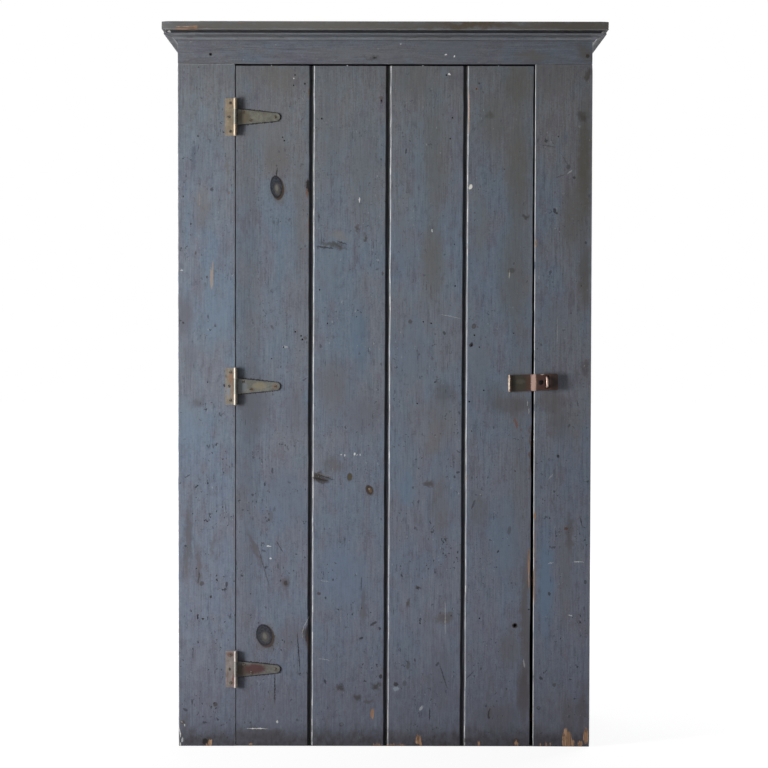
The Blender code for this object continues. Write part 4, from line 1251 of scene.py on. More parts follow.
LEFT_STILE_MARKS = (
    (-0.3990, 1.0850, 0.0030, 0.0240, 1, (0.270, 0.215, 0.175), 0.75),
    (-0.3975, 1.1080, 0.0016, 0.0200, 1, (0.270, 0.205, 0.160), 0.65),
    (-0.4020, 1.0950, 0.0009, 0.0240, 2, (0.250, 0.225, 0.205), 0.60),
    (-0.4270, 1.2680, 0.0009, 0.0160, 0, (0.270, 0.200, 0.150), 0.55),
    (-0.4700, 0.0570, 0.0022, 0.0016, 20, CHALK, 0.85),
    (-0.4635, 0.0500, 0.0009, 0.0030, -20, CHALK, 0.60),
    (-0.4745, 0.0330, 0.0010, 0.0120, -8, CHALK, 0.70),
    (-0.4690, 0.0150, 0.0022, 0.0060, 12, PAINT_WORN_AND_LIT, 0.70),
    (-0.4735, 0.0050, 0.0020, 0.0035, 0, CHALK, 0.60),
    (-0.4165, 0.0120, 0.0045, 0.0065, 12, (0.010, 0.008, 0.007), 0.95),
    (-0.3955, 0.1010, 0.0030, 0.0024, 0, (0.010, 0.010, 0.012), 0.80),
    (-0.4010, 0.0930, 0.0022, 0.0016, 0, (0.014, 0.013, 0.014), 0.80),
    (-0.3905, 0.0900, 0.0016, 0.0030, 30, (0.014, 0.013, 0.014), 0.80),
    (-0.4170, 0.0560, 0.0050, 0.0030, 10, (0.020, 0.018, 0.018), 0.70),
    (-0.4620, 0.0860, 0.0060, 0.0030, 30, (0.022, 0.020, 0.020), 0.70),
    (-0.4440, 0.2180, 0.0012, 0.0130, 4, GRIME_AND_SHADE, 0.55),
    (-0.4300, 0.3930, 0.0020, 0.0120, 10, GRIME_AND_SHADE, 0.50),
    (-0.3989, 1.2919, 0.0040, 0.0040, 0, GRIME_AND_SHADE, 0.6),
    (-0.3599, 1.2842, 0.0030, 0.0042, 0, (0.130, 0.075, 0.058), 0.6),
    (-0.4362, 1.1456, 0.0020, 0.0050, 10, BROWN, 0.7),
    (-0.4650, 1.2755, 0.0018, 0.0018, 0, GRIME_AND_SHADE, 0.8),
    (-0.4655, 0.9846, 0.0022, 0.0030, 0, GRIME_AND_SHADE, 0.8),
    (-0.4686, 1.1056, 0.0040, 0.0007, 0, CHALK, 0.7),
    (-0.4023, 0.3493, 0.0026, 0.0040, 0, GRIME_AND_SHADE, 0.85),
    (-0.3656, 0.3778, 0.0024, 0.0070, 6, GRIME_AND_SHADE, 0.7),
    (-0.4150, 0.0105, 0.0070, 0.0070, 0, GRIME_AND_SHADE, 0.9),
    (-0.4230, 0.3800, 0.0050, 0.0060, 20, (0.040, 0.036, 0.034), 0.7),
    (-0.4560, 0.6300, 0.0070, 0.0016, -30, GRIME_AND_SHADE, 0.6),
    (-0.3920, 0.0980, 0.0050, 0.0050, 0, (0.030, 0.026, 0.024), 0.7),
    (-0.4680, 0.0560, 0.0060, 0.0040, 0, (0.050, 0.036, 0.028), 0.7),
)
LEFT_STILE_HOLES = ((-0.4434, 0.941, 0.0014), (-0.4091, 0.8474, 0.0014), (-0.4650, 1.2755, 0.0012))

BOARD_1_KNOTS = (
    (-0.2495, 1.2970, 0.0137, 0.0252, -6, 1.0),
    (-0.2775, 0.2590, 0.0182, 0.0248, -14, 0.95),
)
BOARD_1_STAINS = (
    (-0.2500, 1.3600, 0.040, 0.055, 0, (0.100, 0.092, 0.088), 0.7),
    (-0.2650, 1.4400, 0.060, 0.080, 0, (0.112, 0.118, 0.128), 0.6),
    (-0.1950, 1.2500, 0.020, 0.180, 0, (0.105, 0.100, 0.098), 0.5),
    (-0.2500, 1.5500, 0.070, 0.040, 0, (0.105, 0.102, 0.100), 0.55),
    (-0.3000, 0.8050, 0.045, 0.100, 0, (0.086, 0.088, 0.104), 0.8),
    (-0.2100, 0.7800, 0.030, 0.060, 0, PURPLE, 0.6),
    (-0.2300, 0.5800, 0.060, 0.090, 0, (0.094, 0.124, 0.178), 0.5),
    (-0.3000, 0.4600, 0.008, 0.055, -22, (0.074, 0.060, 0.062), 0.7),
    (-0.2280, 0.3830, 0.012, 0.016, 0, (0.060, 0.046, 0.040), 0.6),
    (-0.2640, 0.5400, 0.012, 0.016, 0, (0.070, 0.062, 0.058), 0.5),
    (-0.2150, 0.2600, 0.035, 0.040, 0, (0.096, 0.088, 0.098), 0.5),
    (-0.2900, 0.0280, 0.080, 0.018, 2, (0.066, 0.058, 0.056), 0.6),
    (-0.1765, 1.2990, 0.0080, 0.0250, 4, (0.040, 0.030, 0.026), 0.90),
    (-0.3150, 0.9000, 0.0330, 0.8500, 0, (0.062, 0.066, 0.078), 0.38),
    (-0.1755, 0.2600, 0.0120, 0.0380, 8, (0.040, 0.034, 0.036), 0.80),
)
BOARD_1_MARKS = (
    (-0.2495, 1.3300, 0.0016, 0.0120, 8, GRIME_AND_SHADE, 0.85),
    (-0.2100, 1.5467, 0.0015, 0.0015, 0, CHALK, 0.90),
    (-0.2672, 0.4671, 0.0055, 0.0011, 4, CHALK, 0.8),
    (-0.2637, 0.4385, 0.0020, 0.0020, 0, CHALK, 0.7),
    (-0.2537, 0.1370, 0.0013, 0.0360, 0, GRIME_AND_SHADE, 0.95),
    (-0.1985, 0.2200, 0.0012, 0.0450, -4, GRIME_AND_SHADE, 0.9),
    (-0.2950, 0.0417, 0.0240, 0.0008, 0, CHALK, 0.75),
    (-0.3103, 0.0058, 0.0045, 0.0024, 0, BARE_WOOD, 0.85),
    (-0.2800, 0.4200, 0.0011, 0.0500, -16, GRIME_AND_SHADE, 0.45),
    (-0.2420, 0.4650, 0.0012, 0.0160, -30, GRIME_AND_SHADE, 0.6),
    (-0.2778, 0.6111, 0.0022, 0.0040, 0, GRIME_AND_SHADE, 0.7),
    (-0.2595, 0.6425, 0.0022, 0.0070, 4, GRIME_AND_SHADE, 0.6),
    (-0.2680, 0.5280, 0.0030, 0.0030, 0, GRIME_AND_SHADE, 0.6),
    (-0.2283, 0.3815, 0.0045, 0.0055, 0, (0.035, 0.028, 0.026), 0.8),
    (-0.1830, 0.9500, 0.0050, 0.0035, 20, (0.050, 0.044, 0.040), 0.6),
    (-0.2300, 0.9290, 0.0060, 0.0024, 0, PAINT_WORN_AND_LIT, 0.5),
    (-0.2480, 0.0570, 0.0030, 0.0026, 0, CHALK, 0.5),
    (-0.2690, 1.0850, 0.0007, 0.0400, 0, GRIME_AND_SHADE, 0.45),
    (-0.1775, 1.3000, 0.0034, 0.0150, 0, (0.010, 0.008, 0.008), 0.92),
    (-0.1790, 1.2830, 0.0018, 0.0110, 0, (0.150, 0.070, 0.045), 0.80),
    (-0.1752, 1.5130, 0.0016, 0.0120, 0, (0.130, 0.075, 0.050), 0.70),
    (-0.1764, 1.2030, 0.0011, 0.0300, 0, (0.150, 0.090, 0.060), 0.60),
    (-0.1795, 0.2930, 0.0009, 0.0130, 28, (0.300, 0.310, 0.300), 0.85),
    (-0.1882, 0.2730, 0.0009, 0.0110, 12, (0.260, 0.260, 0.250), 0.75),
    (-0.1893, 0.2580, 0.0008, 0.0080, -8, (0.220, 0.215, 0.205), 0.60),
    (-0.1790, 0.2640, 0.0040, 0.0200, 4, (0.022, 0.016, 0.016), 0.75),
    (-0.1765, 0.2400, 0.0024, 0.0220, -4, (0.060, 0.034, 0.024), 0.75),
)
# Dirt and painted shadow along the edges of each strap, painted shadow round its tip, and painted
# shadow beside each barrel
for height in HINGE_HEIGHTS.values():
    BOARD_1_MARKS += (
        (HINGE_X + 0.054, height + 0.0141, 0.0490, 0.0014, 6, GRIME_AND_SHADE, 0.90),
        (HINGE_X + 0.054, height - 0.0141, 0.0490, 0.0014, -6, GRIME_AND_SHADE, 0.90),
        (HINGE_X + 0.0955, height, 0.0098, 0.0092, 0, GRIME_AND_SHADE, 0.92),
    )
    BOARD_1_STAINS += ((HINGE_X + 0.007, height, 0.020, 0.047, 0, (0.016, 0.014, 0.014), 0.88),)
BOARD_1_HOLES = (
    (-0.2495, 1.3462, 0.0013), (-0.2072, 1.5544, 0.0017), (-0.2100, 1.5311, 0.0016),
    (-0.1842, 1.5339, 0.0018), (-0.2357, 1.4118, 0.0014), (-0.2318, 1.4038, 0.0017),
    (-0.2064, 0.9640, 0.0017), (-0.1930, 0.9546, 0.0018), (-0.1900, 0.9460, 0.0021),
    (-0.2334, 0.9286, 0.0018), (-0.2607, 0.9022, 0.0013), (-0.2396, 0.8831, 0.0012),
    (-0.2533, 0.1830, 0.0020), (-0.3103, 0.3560, 0.0012),
)

BOARD_2_KNOTS = (
    (-0.0347, 0.5978, 0.0080, 0.0115, -25, 0.35),
    (-0.0808, 0.6286, 0.0060, 0.0085, 4, 0.30),
)
BOARD_2_STAINS = (
    (-0.1190, 1.1640, 0.036, 0.0085, 14, (0.036, 0.029, 0.023), 1.0),
    (-0.1050, 1.1840, 0.034, 0.0120, 18, (0.160, 0.150, 0.140), 0.55),
    (-0.0639, 1.2021, 0.0065, 0.0110, 0, (0.045, 0.038, 0.034), 0.85),
    (-0.0450, 1.1847, 0.0070, 0.0115, -10, (0.045, 0.036, 0.030), 0.90),
    (-0.1480, 0.6260, 0.030, 0.0120, 14, (0.030, 0.024, 0.021), 1.0),
    (-0.1200, 0.6550, 0.030, 0.0260, 30, (0.086, 0.078, 0.082), 0.60),
    (-0.1028, 0.1371, 0.0120, 0.0100, 10, (0.026, 0.022, 0.018), 1.0),
    (-0.0637, 0.1182, 0.0100, 0.0110, 0, (0.030, 0.027, 0.025), 1.0),
    (-0.0175, 0.1457, 0.0140, 0.0115, -24, (0.030, 0.024, 0.020), 1.0),
    (-0.0374, 0.1060, 0.0170, 0.0060, 0, (0.052, 0.044, 0.038), 0.75),
    (-0.1250, 1.4300, 0.030, 0.140, 0, (0.098, 0.112, 0.130), 0.55),
    (-0.0500, 1.3300, 0.040, 0.150, 0, (0.104, 0.118, 0.138), 0.50),
    (-0.1300, 1.1200, 0.030, 0.080, 0, (0.110, 0.142, 0.175), 0.50),
    (-0.0560, 0.9500, 0.026, 0.110, 0, (0.080, 0.118, 0.168), 0.60),
    (-0.1200, 0.8400, 0.050, 0.080, 0, (0.108, 0.104, 0.116), 0.75),
    (-0.0500, 0.7700, 0.050, 0.060, 0, PURPLE, 0.70),
    (-0.0900, 0.4000, 0.070, 0.090, 0, (0.100, 0.136, 0.195), 0.60),
    (-0.0480, 0.3250, 0.010, 0.050, 0, (0.064, 0.058, 0.064), 0.60),
)
BOARD_2_BARE = ((-0.0272, 0.0770, 0.0038, 0.0120, 3), (-0.0150, 0.0020, 0.0120, 0.0030, 0))
BOARD_2_MARKS = (
    (-0.1380, 1.1590, 0.0200, 0.0022, 8, (0.020, 0.014, 0.010), 0.75),
    (-0.0990, 1.1700, 0.0120, 0.0018, 20, (0.020, 0.014, 0.010), 0.75),
    (-0.1500, 0.6230, 0.0200, 0.0020, 12, (0.014, 0.011, 0.010), 0.80),
    (-0.1400, 0.6330, 0.0160, 0.0016, 16, (0.120, 0.110, 0.095), 0.70),
    (-0.1330, 0.6270, 0.0180, 0.0014, 18, (0.014, 0.011, 0.010), 0.70),
    (-0.0585, 1.2679, 0.0012, 0.0055, 0, CHALK, 0.80),
    (-0.1000, 0.6800, 0.0030, 0.0014, -20, CHALK, 0.50),
    (-0.0920, 0.6785, 0.0016, 0.0022, 10, CHALK, 0.55),
    (-0.0690, 0.6813, 0.0018, 0.0034, 10, CHALK, 0.80),
    (-0.0640, 0.6786, 0.0020, 0.0010, -30, CHALK, 0.45),
    (-0.0560, 0.6800, 0.0014, 0.0026, 20, CHALK, 0.40),
    (-0.0800, 0.6290, 0.0055, 0.0080, 4, (0.058, 0.048, 0.026), 0.85),
    (-0.0345, 0.5985, 0.0078, 0.0110, -25, (0.034, 0.022, 0.014), 0.90),
    (-0.0330, 0.5978, 0.0038, 0.0055, -25, (0.110, 0.075, 0.048), 0.80),
    (-0.0352, 0.6004, 0.0012, 0.0020, 0, (0.28, 0.26, 0.23), 0.70),
    (-0.1384, 0.2031, 0.0130, 0.0007, 10, PAINT_WORN_AND_LIT, 0.60),
    (-0.1384, 0.3860, 0.0110, 0.0006, 4, PAINT_WORN_AND_LIT, 0.45),
    (-0.0992, 0.0513, 0.0050, 0.0050, 0, GRIME_AND_SHADE, 0.55),
    (-0.0984, 0.0520, 0.0034, 0.0034, 0, (0.090, 0.095, 0.105), 0.80),
    (-0.0047, 1.0988, 0.0024, 0.0050, 0, (0.045, 0.032, 0.020), 0.70),
    (-0.0079, 1.4959, 0.0022, 0.0070, 0, GRIME_AND_SHADE, 0.60),
    (0.0030, 1.5190, 0.0020, 0.0080, 0, GRIME_AND_SHADE, 0.70),
    (-0.0088, 1.5030, 0.0050, 0.0040, 0, (0.080, 0.050, 0.036), 0.60),
    (-0.1515, 0.3572, 0.0045, 0.0034, 0, (0.050, 0.034, 0.026), 0.80),
    (-0.0532, 0.2532, 0.0050, 0.0022, -20, GRIME_AND_SHADE, 0.75),
    (-0.0250, 0.2873, 0.0090, 0.0030, -30, GRIME_AND_SHADE, 0.70),
    (-0.0100, 0.2760, 0.0030, 0.0030, 0, GRIME_AND_SHADE, 0.70),
    (-0.0530, 0.3800, 0.0016, 0.0160, 2, GRIME_AND_SHADE, 0.50),
    (-0.1372, 0.1520, 0.0030, 0.0060, -20, GRIME_AND_SHADE, 0.70),
    (-0.0080, 0.1637, 0.0040, 0.0050, 0, GRIME_AND_SHADE, 0.75),
    (-0.1362, 0.3472, 0.0024, 0.0030, 0, GRIME_AND_SHADE, 0.70),
)
BOARD_2_HOLES = (
    (-0.0088, 1.3617, 0.0015), (-0.1501, 1.0610, 0.0020), (-0.0079, 1.4959, 0.0016),
    (-0.1457, 1.4542, 0.0019), (-0.1318, 0.9838, 0.0017), (-0.0616, 1.0141, 0.0014),
    (-0.0648, 0.9989, 0.0013), (-0.0723, 0.3355, 0.0012), (-0.0521, 0.3236, 0.0013),
    (-0.0308, 0.3129, 0.0013),
)

BOARD_3_STAINS = (
    (0.1150, 1.3600, 0.034, 0.170, 0, (0.092, 0.092, 0.086), 0.50),
    (0.1100, 1.1300, 0.030, 0.110, 0, (0.092, 0.092, 0.088), 0.70),
    (0.0700, 1.5300, 0.050, 0.050, 0, (0.098, 0.100, 0.104), 0.60),
    (0.0450, 1.1800, 0.026, 0.090, 0, (0.108, 0.130, 0.158), 0.45),
    (0.0600, 0.9000, 0.050, 0.090, 0, (0.108, 0.128, 0.160), 0.50),
    (0.1300, 0.7700, 0.040, 0.060, 0, (0.108, 0.100, 0.106), 0.55),
    (0.1380, 0.8250, 0.030, 0.030, 0, (0.072, 0.070, 0.078), 0.65),
    (0.1150, 0.7100, 0.024, 0.040, 0, (0.118, 0.108, 0.106), 0.50),
    (0.1033, 0.6122, 0.014, 0.0100, 0, (0.050, 0.040, 0.036), 0.80),
    (0.0550, 0.6000, 0.024, 0.050, 0, (0.094, 0.138, 0.196), 0.60),
    (0.1300, 0.5600, 0.026, 0.110, 0, (0.104, 0.100, 0.108), 0.55),
    (0.0805, 0.3728, 0.0070, 0.0060, 0, (0.026, 0.020, 0.017), 1.0),
    (0.0569, 0.3334, 0.0070, 0.0100, -20, (0.052, 0.040, 0.034), 0.80),
    (0.1380, 0.3000, 0.024, 0.018, 0, (0.068, 0.056, 0.046), 0.65),
    (0.1350, 0.1700, 0.030, 0.090, 0, PURPLE, 0.50),
)
BOARD_3_BARE = (
    (0.0795, 0.0150, 0.0066, 0.0110, 6),
    (0.0850, 0.0060, 0.0030, 0.0080, 0),
    (0.0340, 0.0020, 0.0180, 0.0028, 0),
    (0.0110, 0.0020, 0.0060, 0.0030, 0),
)
BOARD_3_MARKS = (
    (0.1475, 1.5569, 0.0032, 0.0016, 20, CHALK, 0.95),
    (0.1091, 1.1978, 0.0010, 0.0038, -6, CHALK, 0.80),
    (0.0276, 0.1350, 0.0070, 0.0048, 0, (0.190, 0.225, 0.265), 0.75),
    (0.0276, 0.1457, 0.0055, 0.0046, 0, GRIME_AND_SHADE, 0.75),
    (0.1530, 1.0000, 0.0230, 0.0006, 12, PAINT_WORN_AND_LIT, 0.65),
    (0.1380, 0.1640, 0.0013, 0.0300, -18, GRIME_AND_SHADE, 0.65),
    (0.1240, 0.1930, 0.0060, 0.0030, -50, GRIME_AND_SHADE, 0.60),
    (0.0487, 1.3807, 0.0020, 0.0060, 8, GRIME_AND_SHADE, 0.70),
    (0.0590, 0.9880, 0.0050, 0.0040, 0, (0.040, 0.034, 0.030), 0.60),
    (0.1376, 0.9620, 0.0034, 0.0044, -30, GRIME_AND_SHADE, 0.65),
    (0.1168, 0.9590, 0.0022, 0.0022, 0, GRIME_AND_SHADE, 0.50),
    (0.0760, 1.2200, 0.0600, 0.0006, 0, (0.070, 0.068, 0.066), 0.30),
    (0.0420, 1.4250, 0.0200, 0.0007, 0, PAINT_PALE, 0.35),
    (0.0789, 0.5713, 0.0022, 0.0040, 0, GRIME_AND_SHADE, 0.55),
    (0.0714, 0.2023, 0.0020, 0.0036, 0, GRIME_AND_SHADE, 0.60),
    (0.1060, 0.0767, 0.0014, 0.0140, 0, GRIME_AND_SHADE, 0.75),
    (0.1420, 0.3000, 0.0012, 0.0380, 0, PAINT_WORN_AND_LIT, 0.35),
    (0.0860, 0.0900, 0.0030, 0.0060, 30, PAINT_WORN_AND_LIT, 0.55),
    (0.0480, 0.1480, 0.0050, 0.0060, 0, (0.050, 0.050, 0.056), 0.55),
    (0.0560, 0.1900, 0.0040, 0.0100, 10, (0.052, 0.046, 0.046), 0.60),
)
BOARD_3_HOLES = (
    (0.1376, 1.1419, 0.0016), (0.1625, 1.0703, 0.0018), (0.1610, 1.1661, 0.0013),
    (0.0893, 0.9874, 0.0016), (0.1080, 0.9842, 0.0019), (0.1164, 0.8483, 0.0015),
    (0.0758, 0.7990, 0.0016), (0.1411, 1.5550, 0.0018), (0.1554, 1.4568, 0.0019),
    (0.1502, 1.4088, 0.0018),
)

BOARD_4_STAINS = (
    (0.3150, 0.8500, 0.0300, 0.7500, 0, (0.092, 0.086, 0.086), 0.32),
    (0.3050, 1.5300, 0.044, 0.060, 0, (0.076, 0.072, 0.060), 0.60),
    (0.3050, 1.3400, 0.034, 0.170, 0, (0.084, 0.081, 0.070), 0.65),
    (0.2950, 1.1000, 0.040, 0.140, 0, (0.090, 0.090, 0.086), 0.60),
    (0.2500, 1.4500, 0.040, 0.080, 0, (0.090, 0.090, 0.084), 0.60),
    (0.2200, 1.2000, 0.024, 0.100, 0, (0.110, 0.122, 0.138), 0.55),
    (0.2200, 0.9000, 0.028, 0.120, 0, (0.108, 0.128, 0.158), 0.50),
    (0.2960, 0.7950, 0.050, 0.030, 0, (0.060, 0.054, 0.052), 0.55),
    (0.2550, 0.8150, 0.030, 0.040, 0, (0.068, 0.062, 0.060), 0.40),
    (0.3375, 0.6900, 0.0035, 0.090, 0, (0.075, 0.044, 0.030), 0.80),
    (0.2200, 0.5500, 0.030, 0.060, 0, (0.090, 0.086, 0.096), 0.60),
    (0.2800, 0.4800, 0.040, 0.120, 0, (0.098, 0.132, 0.180), 0.60),
    (0.3280, 0.3000, 0.014, 0.170, 0, (0.072, 0.062, 0.058), 0.75),
    (0.3250, 0.1300, 0.018, 0.080, 0, (0.056, 0.042, 0.034), 0.85),
    (0.2900, 0.2300, 0.030, 0.060, 0, (0.088, 0.078, 0.078), 0.55),
    (0.2700, 0.0700, 0.060, 0.040, 0, (0.070, 0.062, 0.066), 0.55),
    (0.3259, 1.2274, 0.012, 0.0080, 0, (0.034, 0.030, 0.026), 0.80),
    (0.2400, 1.4600, 0.010, 0.012, 0, (0.056, 0.050, 0.044), 0.60),
)
BOARD_4_BARE = (
    (0.2206, 0.0060, 0.0026, 0.0075, 0),
    (0.3345, 0.4300, 0.0022, 0.0330, 0),
    (0.3340, 0.3850, 0.0018, 0.0160, 0),
    (0.3080, 0.0080, 0.0045, 0.0050, 0),
)
BOARD_4_MARKS = (
    (0.1975, 1.2985, 0.0036, 0.0060, 20, (0.62, 0.61, 0.56), 0.95),
    (0.2877, 1.0982, 0.0009, 0.0110, 0, (0.40, 0.37, 0.28), 0.75),
    (0.2920, 1.1060, 0.0080, 0.0060, 0, (0.046, 0.042, 0.036), 0.60),
    (0.3050, 0.7520, 0.0028, 0.0100, -12, (0.130, 0.060, 0.045), 0.80),
    (0.3010, 0.7620, 0.0022, 0.0050, 30, (0.120, 0.060, 0.045), 0.70),
    (0.3160, 0.7380, 0.0030, 0.0030, 0, (0.120, 0.065, 0.050), 0.60),
    (0.2064, 0.9774, 0.0050, 0.0060, 20, GRIME_AND_SHADE, 0.60),
    (0.2064, 0.9774, 0.0026, 0.0032, 20, (0.095, 0.075, 0.065), 0.80),
    (0.2000, 0.9344, 0.0040, 0.0060, 30, GRIME_AND_SHADE, 0.85),
    (0.2104, 1.5235, 0.0034, 0.0034, 0, (0.17, 0.10, 0.07), 0.70),
    (0.2530, 0.7432, 0.0024, 0.0030, 0, GRIME_AND_SHADE, 0.55),
    (0.2060, 0.5650, 0.0020, 0.0110, 20, GRIME_AND_SHADE, 0.55),
    (0.2637, 0.4550, 0.0020, 0.0040, 30, GRIME_AND_SHADE, 0.80),
    (0.3033, 0.2832, 0.0066, 0.0060, 0, (0.028, 0.024, 0.022), 0.95),
    (0.3015, 0.2850, 0.0022, 0.0014, 0, (0.11, 0.105, 0.10), 0.60),
    (0.2453, 0.0769, 0.0042, 0.0120, 8, GRIME_AND_SHADE, 0.75),
    (0.2480, 0.0790, 0.0034, 0.0100, 8, (0.080, 0.078, 0.084), 0.85),
    (0.2000, 0.1680, 0.0013, 0.0130, 45, GRIME_AND_SHADE, 0.60),
    (0.3071, 0.0150, 0.0055, 0.0055, 0, (0.032, 0.026, 0.022), 0.80),
    (0.3071, 0.0150, 0.0028, 0.0028, 0, (0.090, 0.060, 0.045), 0.80),
    (0.1885, 0.0148, 0.0050, 0.0050, 0, (0.032, 0.030, 0.032), 0.75),
    (0.1940, 1.4700, 0.0011, 0.0500, 0, (0.40, 0.24, 0.15), 0.75),
    (0.2900, 0.5050, 0.0040, 0.0100, 10, (0.052, 0.046, 0.046), 0.55),
    (0.3310, 0.8000, 0.0008, 0.0060, 0, PAINT_WORN_AND_LIT, 0.70),
    (0.3340, 0.7820, 0.0009, 0.0080, 0, PAINT_WORN_AND_LIT, 0.70),
    (0.3250, 0.1950, 0.0020, 0.0100, -10, PAINT_WORN_AND_LIT, 0.40),
)
BOARD_4_HOLES = (
    (0.2168, 1.5359, 0.0016), (0.2104, 1.5235, 0.0014), (0.2757, 1.3395, 0.0012),
    (0.2074, 0.9569, 0.0018), (0.2010, 0.9335, 0.0022), (0.2192, 0.9294, 0.0015),
    (0.2981, 0.9616, 0.0015), (0.2297, 0.8295, 0.0017), (0.2016, 0.7350, 0.0014),
    (0.1960, 0.8030, 0.0020), (0.2208, 0.3003, 0.0016), (0.3033, 0.2832, 0.0042),
    (0.3360, 0.3210, 0.0016), (0.3024, 0.6423, 0.0014),
)

RIGHT_STILE_STAINS = (
    (0.4600, 1.3500, 0.022, 0.180, 0, (0.066, 0.060, 0.048), 0.85),
    (0.4350, 1.2300, 0.034, 0.100, 0, (0.084, 0.082, 0.076), 0.70),
    (0.4600, 1.1000, 0.018, 0.100, 0, (0.070, 0.064, 0.056), 0.75),
    (0.3800, 1.5400, 0.040, 0.040, 0, (0.094, 0.096, 0.100), 0.50),
    (0.4539, 1.4609, 0.012, 0.0120, 0, (0.040, 0.034, 0.028), 0.80),
    (0.4675, 1.5574, 0.009, 0.0170, 0, (0.036, 0.026, 0.018), 0.85),
    (0.3950, 0.9900, 0.034, 0.060, 0, (0.102, 0.112, 0.132), 0.55),
    (0.4650, 0.8800, 0.010, 0.022, 0, (0.050, 0.046, 0.042), 0.60),
    (0.3850, 0.8050, 0.040, 0.030, 0, (0.070, 0.060, 0.056), 0.55),
    (0.4050, 0.7600, 0.030, 0.050, 0, (0.076, 0.072, 0.074), 0.60),
    (0.4450, 0.7500, 0.024, 0.050, 0, (0.106, 0.110, 0.116), 0.45),
    (0.3750, 0.3800, 0.022, 0.160, 0, (0.088, 0.138, 0.208), 0.70),
    (0.4200, 0.4300, 0.020, 0.160, 0, (0.100, 0.104, 0.122), 0.60),
    (0.4300, 0.5000, 0.010, 0.050, 0, (0.058, 0.050, 0.048), 0.60),
    (0.4600, 0.0800, 0.014, 0.060, 0, (0.054, 0.042, 0.036), 0.75),
    (0.4300, 0.0700, 0.022, 0.050, 0, (0.062, 0.052, 0.048), 0.60),
)
RIGHT_STILE_BARE = (
    (0.4215, 0.0200, 0.0065, 0.0230, 2),
    (0.4310, 0.0170, 0.0060, 0.0190, -4),
    (0.4265, 0.0080, 0.0120, 0.0090, 0),
    (0.4692, 0.0260, 0.0058, 0.0170, 2),
    (0.4400, 0.0090, 0.0030, 0.0090, 0),
    (0.4560, 0.0060, 0.0060, 0.0070, 0),
    (0.3772, 0.0060, 0.0016, 0.0080, 0),
    (0.3640, 0.0040, 0.0014, 0.0060, 0),
    (0.3870, 0.0050, 0.0012, 0.0070, 0),
    (0.3486, 0.5393, 0.0024, 0.0090, 0),
    (0.3486, 1.1700, 0.0020, 0.0100, 0),
    (0.3478, 0.4700, 0.0011, 0.0400, 0),
    (0.3476, 0.3800, 0.0010, 0.0500, 0),
)
RIGHT_STILE_MARKS = (
    # Painted shade on the stile under the hasp's flap, seen through its slot and hole
    (0.3780, 0.8490, 0.0180, 0.0190, 2, (0.020, 0.013, 0.011), 0.90),
    (0.3713, 1.4046, 0.0034, 0.0034, 0, GRIME_AND_SHADE, 0.75),
    (0.3993, 1.4141, 0.0018, 0.0018, 0, GRIME_AND_SHADE, 0.75),
    (0.3918, 1.2441, 0.0038, 0.0055, 0, (0.024, 0.026, 0.034), 0.85),
    (0.3960, 1.2380, 0.0030, 0.0024, 0, GRIME_AND_SHADE, 0.75),
    (0.3750, 1.3930, 0.0200, 0.0009, 8, GRIME_AND_SHADE, 0.55),
    (0.3880, 1.3990, 0.0040, 0.0010, 50, GRIME_AND_SHADE, 0.55),
    (0.4150, 1.3600, 0.0008, 0.0200, -30, GRIME_AND_SHADE, 0.45),
    (0.4230, 1.3450, 0.0050, 0.0060, 20, (0.046, 0.044, 0.044), 0.65),
    (0.4260, 1.3330, 0.0070, 0.0014, -40, PAINT_WORN_AND_LIT, 0.50),
    (0.4360, 1.3200, 0.0040, 0.0030, 0, GRIME_AND_SHADE, 0.60),
    (0.4050, 1.3240, 0.0120, 0.0010, -20, GRIME_AND_SHADE, 0.45),
    (0.4639, 1.1706, 0.0030, 0.0030, 0, GRIME_AND_SHADE, 0.60),
    (0.4020, 0.6774, 0.0026, 0.0040, -20, GRIME_AND_SHADE, 0.80),
    (0.4211, 0.5092, 0.0045, 0.0034, 20, (0.070, 0.032, 0.020), 0.85),
    (0.3827, 0.5333, 0.0014, 0.0024, 0, GRIME_AND_SHADE, 0.70),
    (0.4560, 0.5260, 0.0013, 0.0130, -14, GRIME_AND_SHADE, 0.70),
    (0.4630, 0.5120, 0.0050, 0.0012, 20, GRIME_AND_SHADE, 0.55),
    (0.4480, 0.4316, 0.0100, 0.0008, 0, CHALK, 0.65),
    (0.4580, 0.4316, 0.0050, 0.0007, 4, CHALK, 0.60),
    (0.3860, 0.4290, 0.0060, 0.0007, -12, CHALK, 0.60),
    (0.4315, 0.3074, 0.0065, 0.0009, 12, CHALK, 0.65),
    (0.3828, 0.3577, 0.0030, 0.0045, -20, (0.034, 0.028, 0.028), 0.80),
    (0.3587, 0.0909, 0.0045, 0.0045, 0, GRIME_AND_SHADE, 0.70),
    (0.3590, 0.0915, 0.0026, 0.0026, 0, (0.080, 0.085, 0.096), 0.85),
    (0.3956, 0.1452, 0.0040, 0.0040, 0, (0.042, 0.040, 0.042), 0.70),
    (0.4670, 0.3850, 0.0030, 0.0050, 0, GRIME_AND_SHADE, 0.60),
    (0.3850, 0.6300, 0.0090, 0.0012, -45, (0.30, 0.31, 0.32), 0.45),
    (0.3990, 0.9700, 0.0007, 0.0300, 0, PAINT_WORN_AND_LIT, 0.35),
)
RIGHT_STILE_HOLES = (
    (0.3713, 1.4046, 0.0016), (0.4020, 0.6774, 0.0015), (0.4539, 1.0710, 0.0014),
    (0.3993, 1.4141, 0.0011),
)

